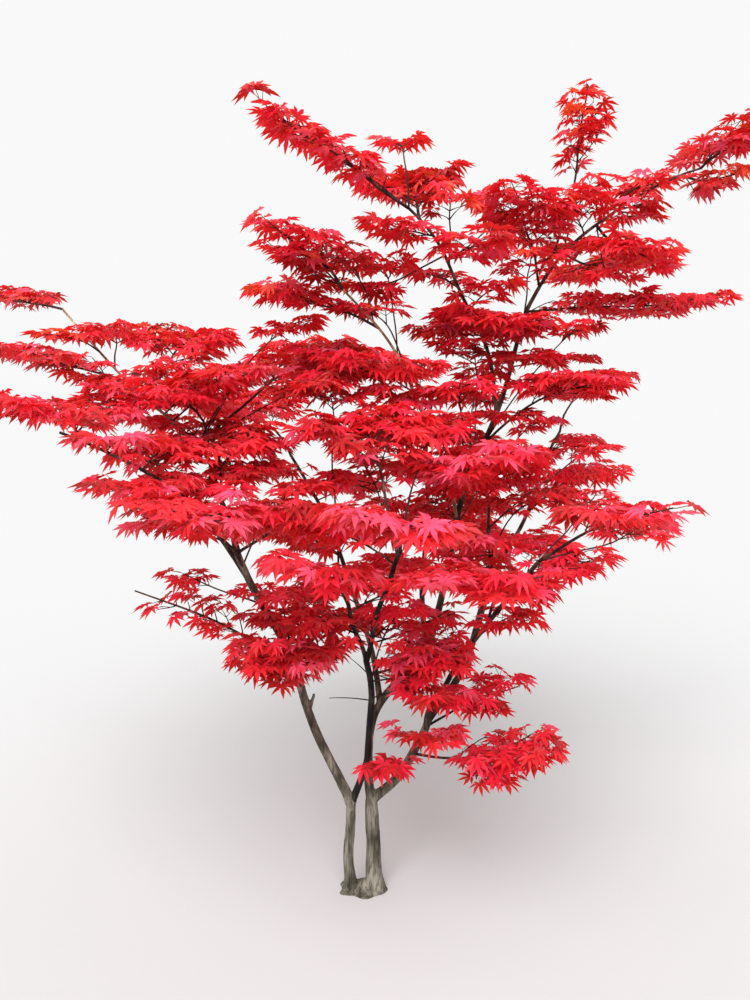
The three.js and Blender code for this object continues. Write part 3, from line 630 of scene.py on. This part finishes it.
def side_way(space, tangent, hand, angle, lean):
    """A direction off to one side of a tangent, leaning out of the plane of the space."""
    across = unit(np.cross(space.up, tangent))
    way = tangent * math.cos(angle) + across * hand * math.cos(lean) * math.sin(angle)
    return unit(way + space.up * math.sin(lean) * math.sin(angle))


def grow_twig(state, start, direction, radius, lift=0.0):
    """A twig out to the rim of its space, with a shoot at its tip and others to both sides."""
    rng, space = state["rng"], state["space"]
    reach = sum(LEAF_REACH) / 2
    free = space.room(start, direction) * rng.uniform(*TWIG_REACH) - LEAF_ROOM * reach
    length = max(SHORTEST_TWIG, free)
    tint = deal_tint(space, rng)
    points = shoot_points(start, direction, length, lift + rng.uniform(*TWIG_LIFT), TWIG_STEPS)
    if not clear(points[1:], TWIG_CLEARANCE):
        return
    before = len(leaves)
    way = unit(points[-1] - points[-2])
    leafy_shoot(state, points[-1], way, TIP_SHOOT, radius * TIP_SHOOT_RADIUS, tint)
    pairs = int(length // TWIG_NODES)
    for pair in range(pairs, 0, -1):
        share = (pair - rng.uniform(*SIDE_SHIFT)) / pairs
        node = points[0] + (points[-1] - points[0]) * share
        for hand in (-1, 1):
            angle = math.radians(rng.uniform(*SHOOT_ANGLE))
            way = side_way(space, direction, hand, angle, math.radians(rng.uniform(*SIDE_LEAN)))
            shorter = length * (1 - SIDE_SHORTENING * share)
            side_length = min(space.room(node, way) - reach, shorter, SIDE_LENGTHS[1])
            if side_length > SIDE_LENGTHS[0]:
                side_length *= rng.uniform(*SIDE_SHARE)
                leafy_shoot(state, node, way, side_length, radius * SIDE_SHOOT_RADIUS, tint)
            else:
                add_leaf(state, node, way, tint)
    if len(leaves) > before:
        tubes["twigs"].append((points, (radius, radius * TWIG_TAPER)))


def grow_space(name, index):
    """A twig at the stem's tip, then pairs of twigs down the stem, each in a layer of its own."""
    space = spaces[name]
    is_mass = name in MASSES
    rng = random.Random(SEED + SEED_STEP * index)
    state = {
        "rng": rng,
        "space": space,
        "keep": THIN.get(name, 1.0 if is_mass else SPRAY_KEEP),
        "inside": 2 if is_mass else 1,  # how many of a leaf's points the space has to hold
    }
    stem = space.stem
    shares = np.linspace(0, 1, STEM_SAMPLES)
    entry = shares[np.argmax(space.measure(stem.along(shares)) < ENTRY_DEPTH)]
    if not clear(stem.along(STEM_CHECKS), STEM_CLEARANCE):
        return
    before = len(leaves)
    grow_twig(state, stem.end, stem.tangent(1), TIP_TWIG_RADIUS)
    pairs = max(2, round((1 - entry) * stem.length / STEM_NODES))
    layers = max(1, round(2 * space.half[2] / LAYER))
    heights = [(2 * (k + 0.5) / layers - 1) * space.half[2] for k in range(layers)]
    turn = rng.randrange(layers)
    for pair in range(pairs - 1, -1, -1):
        share = lerp(entry, LAST_PAIR, (pair + PAIR_SHIFT) / pairs)
        start = stem.along(share)[0]
        tangent = stem.tangent(share)
        offset = float((start - space.centre) @ space.up)
        for hand in (-1, 1):
            turn += 1
            climb = heights[turn % layers] + rng.uniform(*LAYER_STRAY) - offset
            lean = math.atan2(climb, LAYER_REACH * space.half[1])
            angle = math.radians(rng.uniform(*TWIG_ANGLE))
            way = side_way(space, tangent, hand, angle, lean + math.radians(rng.uniform(*LEAN_STRAY)))
            grow_twig(state, start, way, SIDE_TWIG_RADIUS, -LEVELLING * math.sin(lean))
    if len(leaves) > before:
        radii = STEM_RADII if is_mass else SPRAY_RADII
        tubes["twigs"].append((stem.along(np.linspace(0, 1, STEM_RINGS)), radii))


# Leaf templates: seven pointed lobes, each folded up from its midrib, in shares of the leaf's reach
TEMPLATES = 12
LOBES = ((0, 1.0), (36, 0.96), (73, 0.8), (115, 0.5))  # angle and reach of each, on one side
LOBE_STRAY = (-5, 5)
LOBE_REACH = (0.88, 1.05)
LOBE_WIDTH = (0.09, 0.12)
WIDTH_BY_REACH = (0.75, 0.3)
WIDEST_AT = (0.48, 0.58)
NOTCHES = (0.27, 0.24, 0.18)  # reach of the notches between them
NOTCH_REACH = (0.85, 1.15)
HEEL = (40, 0.12)  # angle beyond the last lobe and reach of the leaf's back corners
DROOP = (0.02, 0.3)
FOLD = (0.03, 0.1)
TWIST = (-0.04, 0.04)
TIP_STRAY = (-4, 4)
TIP_HEIGHT = (-0.06, 0.02)


def leaf_template(rng):
    """Corners and triangles of a leaf of reach 1, with ahead as X and up as Z."""
    droop = rng.uniform(*DROOP)
    fold = rng.uniform(*FOLD)
    lobes = [(-a, s) for a, s in LOBES[:0:-1]] + list(LOBES)
    lobes = [(a + rng.uniform(*LOBE_STRAY), s * rng.uniform(*LOBE_REACH)) for a, s in lobes]
    corners, triangles = [(0, 0, 0)], []

    def corner(angle, share, height=0.0):
        a = math.radians(angle)
        corners.append((math.cos(a) * share, math.sin(a) * share, height - droop * share * share))
        return len(corners) - 1

    edges = [corner(lobes[0][0] - HEEL[0], HEEL[1])]
    for k, share in enumerate(NOTCHES[::-1] + NOTCHES):
        angle = (lobes[k][0] + lobes[k + 1][0]) / 2
        edges.append(corner(angle, share * rng.uniform(*NOTCH_REACH), fold / 2))
    edges.append(corner(lobes[-1][0] + HEEL[0], HEEL[1]))
    for k, (angle, share) in enumerate(lobes):
        wide = rng.uniform(*LOBE_WIDTH) * (WIDTH_BY_REACH[0] + WIDTH_BY_REACH[1] * share)
        middle = rng.uniform(*WIDEST_AT) * share
        spread = math.degrees(math.atan2(wide, middle))
        twist = rng.uniform(*TWIST)
        right = corner(angle - spread, math.hypot(middle, wide), fold + twist)
        left = corner(angle + spread, math.hypot(middle, wide), fold - twist)
        tip = corner(angle + rng.uniform(*TIP_STRAY), share, rng.uniform(*TIP_HEIGHT))
        triangles += [(0, edges[k], right), (0, right, tip), (0, tip, left), (0, left, edges[k + 1])]
    return np.array(corners), np.array(triangles)


# Materials
def feed(tree, node, inputs):
    """Fills a node's inputs, each with a fixed value or from the output of another node."""
    for name, value in inputs.items():
        if isinstance(value, bpy.types.NodeSocket):
            tree.links.new(value, node.inputs[name])
        else:
            node.inputs[name].default_value = value


def add_node(tree, kind, inputs=None):
    node = tree.nodes.new("ShaderNode" + kind)
    feed(tree, node, inputs or {})
    return node


def material(name, colour, roughness, specular):
    mat = bpy.data.materials.new(name)
    mat.use_nodes = True
    tree = mat.node_tree
    shader = tree.nodes["Principled BSDF"]
    feed(tree, shader, {"Base Color": (*colour, 1), "Roughness": roughness, "Specular IOR Level": specular})
    return mat, tree, shader


def texture(tree, scale, detail, stretch=(1, 1, 1)):
    """Noise in the object's own space; the scale is in lumps a metre."""
    place = add_node(tree, "TexCoord").outputs["Object"]
    place = add_node(tree, "Mapping", {"Vector": place, "Scale": stretch}).outputs["Vector"]
    return add_node(tree, "TexNoise", {"Vector": place, "Scale": scale, "Detail": detail}).outputs["Fac"]


def ramp(tree, source, places, colours):
    """Colours by a value, each at its place between 0 and 1."""
    node = add_node(tree, "ValToRGB", {"Fac": source})
    elements = node.color_ramp.elements
    while len(elements) < len(places):
        elements.new(0.5)
    for element, place, colour in zip(elements, places, colours):
        element.position = place
        element.color = (*colour, 1)
    return node.outputs["Color"]


def bump(tree, shader, height, strength, distance):
    """Fine relief from a texture; the distance is in metres."""
    node = add_node(tree, "Bump", {"Height": height, "Strength": strength, "Distance": distance})
    feed(tree, shader, {"Normal": node.outputs["Normal"]})


LEAF_ROUGHNESS = 0.46
LEAF_SPECULAR = 0.36
LEAF_SPECKLE = (60, 3)  # scale and detail
LEAF_DARKER = 0.82
LEAF_LIGHTER = (1.14, 0.012)  # factor and addition
LEAF_STOPS = (0.3, 0.7)
LEAF_SHEEN = {"Sheen Weight": 0.12, "Sheen Roughness": 0.5, "Sheen Tint": (1.0, 0.6, 0.8, 1)}
LEAF_GRAIN = (420, 2)
LEAF_RELIEF = (0.25, 0.0008)  # strength and distance
LEAF_LETS_THROUGH = 0.38
THROUGH_GREEN = (1.7, 0.006)
THROUGH_BLUE = 0.4


def leaf_material(name, colour):
    """A thin leaf with a soft speckle, a little sheen and light that shines through it more orange."""
    mat, tree, shader = material("leaf_" + name, colour, LEAF_ROUGHNESS, LEAF_SPECULAR)
    low = tuple(c * LEAF_DARKER for c in colour)
    high = tuple(min(1, c * LEAF_LIGHTER[0] + LEAF_LIGHTER[1]) for c in colour)
    tone = ramp(tree, texture(tree, *LEAF_SPECKLE), LEAF_STOPS, (low, high))
    feed(tree, shader, {"Base Color": tone} | LEAF_SHEEN)
    bump(tree, shader, texture(tree, *LEAF_GRAIN), *LEAF_RELIEF)
    red, green, blue = colour
    glow = (red, green * THROUGH_GREEN[0] + THROUGH_GREEN[1], blue * THROUGH_BLUE, 1)
    through = add_node(tree, "BsdfTranslucent", {"Color": glow})
    inputs = {0: LEAF_LETS_THROUGH, 1: shader.outputs["BSDF"], 2: through.outputs["BSDF"]}
    mix = add_node(tree, "MixShader", inputs)
    feed(tree, tree.nodes["Material Output"], {"Surface": mix.outputs["Shader"]})
    return mat


def blend(tree, mode, share, first, second):
    """A colour mixed of two, by a fixed share or by a socket."""
    mix = add_node(tree, "Mix")
    mix.data_type = "RGBA"
    mix.blend_type = mode
    feed(tree, mix, {"Factor": share, "A": first, "B": second})
    return mix.outputs["Result"]


# Bark: dark, usual and light tone of each kind, and for the trunk's kind those of its upper part too
BARKS = {
    "bark_grey": [((0.022, 0.014, 0.011), (0.066, 0.046, 0.037), (0.16, 0.125, 0.098))],
    "bark_trunk": [
        ((0.05, 0.045, 0.032), (0.135, 0.124, 0.094), (0.26, 0.242, 0.196)),
        ((0.034, 0.025, 0.019), (0.108, 0.084, 0.064), (0.25, 0.2, 0.162)),
    ],
    "bark_dark": [((0.006, 0.005, 0.005), (0.017, 0.012, 0.011), (0.05, 0.038, 0.033))],
    "bark_tan": [((0.16, 0.085, 0.045), (0.36, 0.22, 0.13), (0.55, 0.40, 0.27))],
    "bark_twig": [((0.02, 0.009, 0.008), (0.055, 0.022, 0.018), (0.12, 0.055, 0.04))],
    "stalk": [((0.2, 0.012, 0.014), (0.36, 0.025, 0.024), (0.45, 0.05, 0.04))],
}
TONE_STOPS = (0.36, 0.5, 0.64)
BLOTCHES = (34, 7, (1, 1, 0.3))  # scale, detail and stretch
STREAKS = (170, 4, (1, 1, 0.1))
STREAK_STOPS = (0.38, 0.52)
STREAK_TONES = ((0.42, 0.4, 0.38), (1, 1, 1))
STREAK_SHARE = 0.85
CHANGE = (0.2, 0.5)  # heights in metres between which the trunk's tones give way to the boughs'
BARK_ROUGHNESS = 0.85
BARK_SPECULAR = 0.2
BARK_GRAIN = (210, 6, (1, 1, 0.14))
BARK_RELIEF = (0.9, 0.003)


def bark_material(name, tones, above=None):
    """Bark in blotches of three tones with dark streaks; other tones can take over higher up."""
    mat, tree, shader = material(name, tones[1], BARK_ROUGHNESS, BARK_SPECULAR)
    blotch = texture(tree, *BLOTCHES)
    colour = ramp(tree, blotch, TONE_STOPS, tones)
    if above:
        high = ramp(tree, blotch, TONE_STOPS, above)
        place = add_node(tree, "TexCoord").outputs["Object"]
        height = add_node(tree, "SeparateXYZ", {"Vector": place}).outputs["Z"]
        rise = add_node(tree, "MapRange", {"Value": height, "From Min": CHANGE[0], "From Max": CHANGE[1]})
        colour = blend(tree, "MIX", rise.outputs["Result"], colour, high)
    lines = ramp(tree, texture(tree, *STREAKS), STREAK_STOPS, STREAK_TONES)
    feed(tree, shader, {"Base Color": blend(tree, "MULTIPLY", STREAK_SHARE, colour, lines)})
    bump(tree, shader, texture(tree, *BARK_GRAIN), *BARK_RELIEF)
    return mat


# Meshes
def new_object(name, vertices, faces, mat, smooth=True):
    """An object of corners in millimetres and faces that all have the same number of corners."""
    mesh = bpy.data.meshes.new(name)
    vertices = np.asarray(vertices, float) * MM
    faces = np.asarray(faces)
    mesh.vertices.add(len(vertices))
    mesh.vertices.foreach_set("co", vertices.ravel())
    mesh.loops.add(faces.size)
    mesh.loops.foreach_set("vertex_index", faces.ravel())
    mesh.polygons.add(len(faces))
    mesh.polygons.foreach_set("loop_start", np.arange(len(faces)) * faces.shape[1])
    mesh.update(calc_edges=True)
    mesh.validate()
    if smooth:
        mesh.shade_smooth()
    obj = bpy.data.objects.new(name, mesh)
    bpy.context.scene.collection.objects.link(obj)
    mesh.materials.append(mat)
    return obj


UPRIGHT = 0.1  # a path counts as upright where the sine of its angle to the vertical is less


def frames_along(points):
    """Two directions across a path at each of its points, turned as little as possible on the way."""
    ways = np.gradient(points, axis=0)
    ways /= np.linalg.norm(ways, axis=1)[:, None]
    first = np.cross(ways[0], UP)
    if np.linalg.norm(first) < UPRIGHT:
        first = np.cross(ways[0], [1.0, 0.0, 0.0])
    across = [unit(first)]
    for way in ways[1:]:
        last = across[-1]
        across.append(unit(last - way * np.dot(last, way)))
    across = np.array(across)
    return across, np.cross(ways, across)


def ring_faces(rings, sides):
    """Triangles of the wall between rings of corners that follow one another."""
    k = np.arange(rings - 1)[:, None] * sides
    j = np.arange(sides)
    a, b = (k + j).ravel(), (k + (j + 1) % sides).ravel()
    lower = np.stack([a, b, b + sides], axis=1)
    return np.concatenate([lower, np.stack([a, b + sides, a + sides], axis=1)])


def tube(points, radii, sides):
    """A closed tube along points, with one radius for each point or one for each side at each point."""
    across, over = frames_along(points)
    angles = np.linspace(0, 2 * np.pi, sides, endpoint=False)[None, :, None]
    ring = across[:, None] * np.cos(angles) + over[:, None] * np.sin(angles)
    corners = points[:, None] + ring * np.reshape(radii, (len(points), -1, 1))
    corners = np.concatenate([corners.reshape(-1, 3), points[:1], points[-1:]])
    j = np.arange(sides)
    foot = np.full(sides, len(points) * sides)
    end = foot - sides
    faces = [ring_faces(len(points), sides), np.stack([foot, (j + 1) % sides, j], axis=1)]
    faces.append(np.stack([foot + 1, end + j, end + (j + 1) % sides], axis=1))
    return corners, np.concatenate(faces)


def tapered(points, radii, sides):
    return tube(points, lerp(*radii, np.linspace(0, 1, len(points))), sides)


def joined(parts):
    """Corner and triangle lists as one."""
    corners, faces, count = [], [], 0
    for c, f in parts:
        corners.append(c)
        faces.append(f + count)
        count += len(c)
    return np.concatenate(corners), np.concatenate(faces)


# Relief of the bark: how fine each layer is round a limb, its length along it and its shift by limb, then
# the layers' heights, two in radii and one in millimetres
RIDGES = (3.2, 55, 1)
LUMPS = (1.1, 38, 7)
GRAIN = (7.0, 16, 3)
RELIEF = (0.05, 0.07, 0.35)
LIMB_PHASE = 3.7  # change of the relief from one limb to the next
RING_STEP = 7
LEAST_RINGS = 12
THICK_LIMB = 9
LIMB_SIDES = (14, 20)  # of a thin limb and a thick one


def relief(way_along, angle, radius, phase):
    """Height of the bark at a place round and along a limb."""
    x, y = math.cos(angle), math.sin(angle)

    def layer(fine, length, shift):
        return noise.noise(Vector((x * fine, y * fine, way_along / length + shift * phase)))

    ridges, lumps, grain = layer(*RIDGES), layer(*LUMPS), layer(*GRAIN)
    return radius * (RELIEF[0] * ridges + RELIEF[1] * lumps) + RELIEF[2] * grain


def limb_tube(name):
    curve = curves[name]
    thick = LIMBS[name][6][0] > THICK_LIMB
    rings = max(LEAST_RINGS, int(curve.length / RING_STEP))
    sides = LIMB_SIDES[thick]
    shares = np.linspace(0, 1, rings)
    phase = list(LIMBS).index(name) * LIMB_PHASE
    rows = []
    for share in shares:
        radius = limb_radius(name, share)
        along = share * curve.length
        rows.append([radius + relief(along, 2 * math.pi * k / sides, radius, phase) for k in range(sides)])
    return tube(curve.along(shares), rows, sides)


MOUND_RINGS = 12
MOUND_SIDES = 40
MOUND_SLOPE = 1.2
MOUND_FOOT = -30  # how deep it starts, before the cut at the ground
BUTTRESS = (0.09, 0.6)  # height and turn of the buttresses
MOUND_LUMPS = (0.12, 2.2, 1.3)  # height, fineness and place of the lumps among them


def mound_ring(share):
    """Corners round the mound at a share of its height."""
    corners = []
    for k in range(MOUND_SIDES):
        angle = 2 * math.pi * k / MOUND_SIDES
        x, y = math.cos(angle), math.sin(angle)
        lump = noise.noise(Vector((x * MOUND_LUMPS[1], y * MOUND_LUMPS[1], MOUND_LUMPS[2])))
        ridge = BUTTRESS[0] * math.cos(BUTTRESSES * angle + BUTTRESS[1]) + MOUND_LUMPS[0] * lump
        spread = SKIRT * (1 - share) * (1 + ridge * (1 - share))
        height = FLARE[2] * share ** MOUND_SLOPE
        corners.append((x * FLARE[0] / 2 * spread, y * FLARE[1] / 2 * spread, height))
    return corners


def mound():
    """The swelling of root that joins the two stems, with buttresses that run into it."""
    rings = [mound_ring(i / (MOUND_RINGS - 1)) for i in range(MOUND_RINGS)]
    rings.insert(0, [(x, y, MOUND_FOOT) for x, y, _ in rings[0]])
    base = [(0, k + 1, k) for k in range(1, MOUND_SIDES - 1)]
    return np.concatenate(rings), np.concatenate([ring_faces(len(rings), MOUND_SIDES), base])


VOXEL = 0.0026  # metres
ROUNDING = (0.5, 4)  # strength and number of the steps that round a fused skin


def fuse(obj):
    """Makes one skin of crossing tubes and rounds the creases between them."""
    remesh = obj.modifiers.new("skin", "REMESH")
    remesh.mode = "VOXEL"
    remesh.voxel_size = VOXEL
    smooth = obj.modifiers.new("round", "SMOOTH")
    smooth.factor, smooth.iterations = ROUNDING
    mesh = bpy.data.meshes.new_from_object(obj.evaluated_get(bpy.context.evaluated_depsgraph_get()))
    obj.modifiers.clear()
    mesh.materials.clear()
    mesh.materials.append(obj.data.materials[0])
    mesh.shade_smooth()
    obj.data = mesh


def cut_flat(obj):
    """Cuts an object at the ground."""
    bm = bmesh.new()
    bm.from_mesh(obj.data)
    whole = bm.verts[:] + bm.edges[:] + bm.faces[:]
    cut = bmesh.ops.bisect_plane(bm, geom=whole, plane_co=(0, 0, 0), plane_no=(0, 0, 1), clear_inner=True)
    rim = [e for e in cut["geom_cut"] if isinstance(e, bmesh.types.BMEdge)]
    bmesh.ops.edgeloop_fill(bm, edges=rim)
    bmesh.ops.recalc_face_normals(bm, faces=bm.faces[:])
    bm.to_mesh(obj.data)
    bm.free()


STUB_POINTS = 8
STUB_SIDES = 10


def stub_tube():
    """The short dead stub on the left bough."""
    at, heading, rise, length, radii = STUB
    base = curves["left_bough"].at(at)[0]
    way = axes_of(heading, rise)[0]
    points = base + way * length * np.linspace(0, 1, STUB_POINTS)[:, None]
    return tapered(points, radii, STUB_SIDES)


# Thin side twigs without leaves: limb, place on it, heading, rise, length and radius at the foot
BARE_TWIGS = (
    ("centre_bough", 0.73, -168, 15, 120, 1.9),
    ("centre_bough", 0.745, 8, 18, 92, 1.7),
    ("centre_bough", 0.9, 166, 44, 84, 1.6),
    ("centre_bough", 0.975, -30, 42, 40, 1.4),
    ("centre_right", 0.3, -20, 25, 70, 1.3),
    ("centre_right", 0.62, 175, 30, 80, 1.2),
    ("centre_left", 0.55, -160, 35, 70, 1.2),
)
BARE_LIFT = -0.12
BARE_TAPER = 0.45
BARE_STEPS = 6
BARE_SIDES = 6


def bare_twig(limb, at, heading, rise, length, radius):
    start = curves[limb].at(at)[0]
    points = shoot_points(start, axes_of(heading, rise)[0], length, BARE_LIFT, BARE_STEPS)
    return tapered(points, (radius, radius * BARE_TAPER), BARE_SIDES)


def piece(name, parts, mat, smooth=True):
    """One mesh of many parts, on the plant's only body."""
    obj = new_object(name, *joined(parts), mat, smooth)
    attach(obj, "root")
    return obj


def limb_piece(name, nodes, bark, extra=()):
    """A mesh of limbs that takes the place of their solids."""
    obj = piece(name, [limb_tube(n) for n in nodes] + list(extra), barks[bark])
    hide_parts(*nodes)
    return obj


GREY = ["trunk", "left_stem", "left_bough", "inner_bough", "right_bough"]
DARK = ["centre_bough", "centre_left", "centre_right"]
TAN = ["left_upper", "upper_left"]
REST = [n for n in LIMBS if n not in GREY + DARK + TAN]

barks = {name: bark_material(name, *tones) for name, tones in BARKS.items()}

stems = limb_piece("stems_and_lower_boughs", GREY, "bark_trunk", [mound(), stub_tube()])
fuse(stems)
cut_flat(stems)
limb_piece("upper_boughs", REST, "bark_grey")
limb_piece("centre_boughs", DARK, "bark_dark", [bare_twig(*row) for row in BARE_TWIGS])
limb_piece("light_shoots", TAN, "bark_tan")

# Foliage
THICK_TWIG = 2
TWIG_SIDES = (5, 6)  # of a thin twig and a thick one
SHOOT_SIDES = 3

for index, name in enumerate(spaces):
    grow_space(name, index)

twig_parts = [tapered(points, radii, TWIG_SIDES[radii[0] > THICK_TWIG]) for points, radii in tubes["twigs"]]
twig_parts += [tapered(points, radii, SHOOT_SIDES) for points, radii in tubes["shoots"]]
piece("twigs", twig_parts, barks["bark_twig"])
petiole_parts = [tube(points, radii, SHOOT_SIDES) for points, radii in tubes["petioles"]]
piece("leaf_stalks", petiole_parts, barks["stalk"])

templates = [leaf_template(random.Random(SEED + k)) for k in range(TEMPLATES)]


def leaves_of(tint):
    """The leaves of one tint, each a template turned and scaled to its place."""
    parts = []
    for hub, ahead, side, up, reach, template, own_tint in leaves:
        if own_tint == tint:
            corners, triangles = templates[template]
            parts.append((hub + (corners * reach) @ np.stack([ahead, side, up]), triangles))
    return parts


leaf_objects = [
    piece("leaves_" + name, leaves_of(tint), leaf_material(name, colour), smooth=False)
    for tint, (name, (colour, _)) in enumerate(TINTS.items())
]
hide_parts(*MASSES)

# Stage
FLOOR_TONE = 0.523
FLOOR_REACH = 40000
floor_mat = material("floor", (FLOOR_TONE, FLOOR_TONE, FLOOR_TONE), 1, 0)[0]
floor_corners = [(x * FLOOR_REACH, y * FLOOR_REACH, 0) for x, y in ((-1, -1), (1, -1), (1, 1), (-1, 1))]
floor = new_object("floor", floor_corners, [(0, 1, 2, 3)], floor_mat, smooth=False)

world = bpy.data.worlds.new("sky")
bpy.context.scene.world = world
world.use_nodes = True
background = world.node_tree.nodes["Background"]
feed(world.node_tree, background, {"Color": (1, 1, 1, 1), "Strength": 0.95})

sky = bpy.data.objects.new("sky_light", bpy.data.lights.new("sky_light", "SUN"))
sky.data.energy = 3.75
sky.data.angle = math.radians(50)
sky.rotation_euler = (math.radians(43), math.radians(-10), 0)
bpy.context.scene.collection.objects.link(sky)

# Camera, at the place worked out from the photo, in metres and degrees
CAMERA_PLACE = (0.035, -2.153, 1.44)
CAMERA_DIP = 7.53
camera = bpy.data.objects.new("camera", bpy.data.cameras.new("camera"))
camera.location = CAMERA_PLACE
camera.rotation_euler = (math.radians(90 - CAMERA_DIP), 0, 0)
camera.data.sensor_width = 36
camera.data.lens = 28.33
camera.data.clip_end = 200
bpy.context.scene.collection.objects.link(camera)
bpy.context.scene.camera = camera
bpy.context.scene.view_settings.view_transform = "Standard"
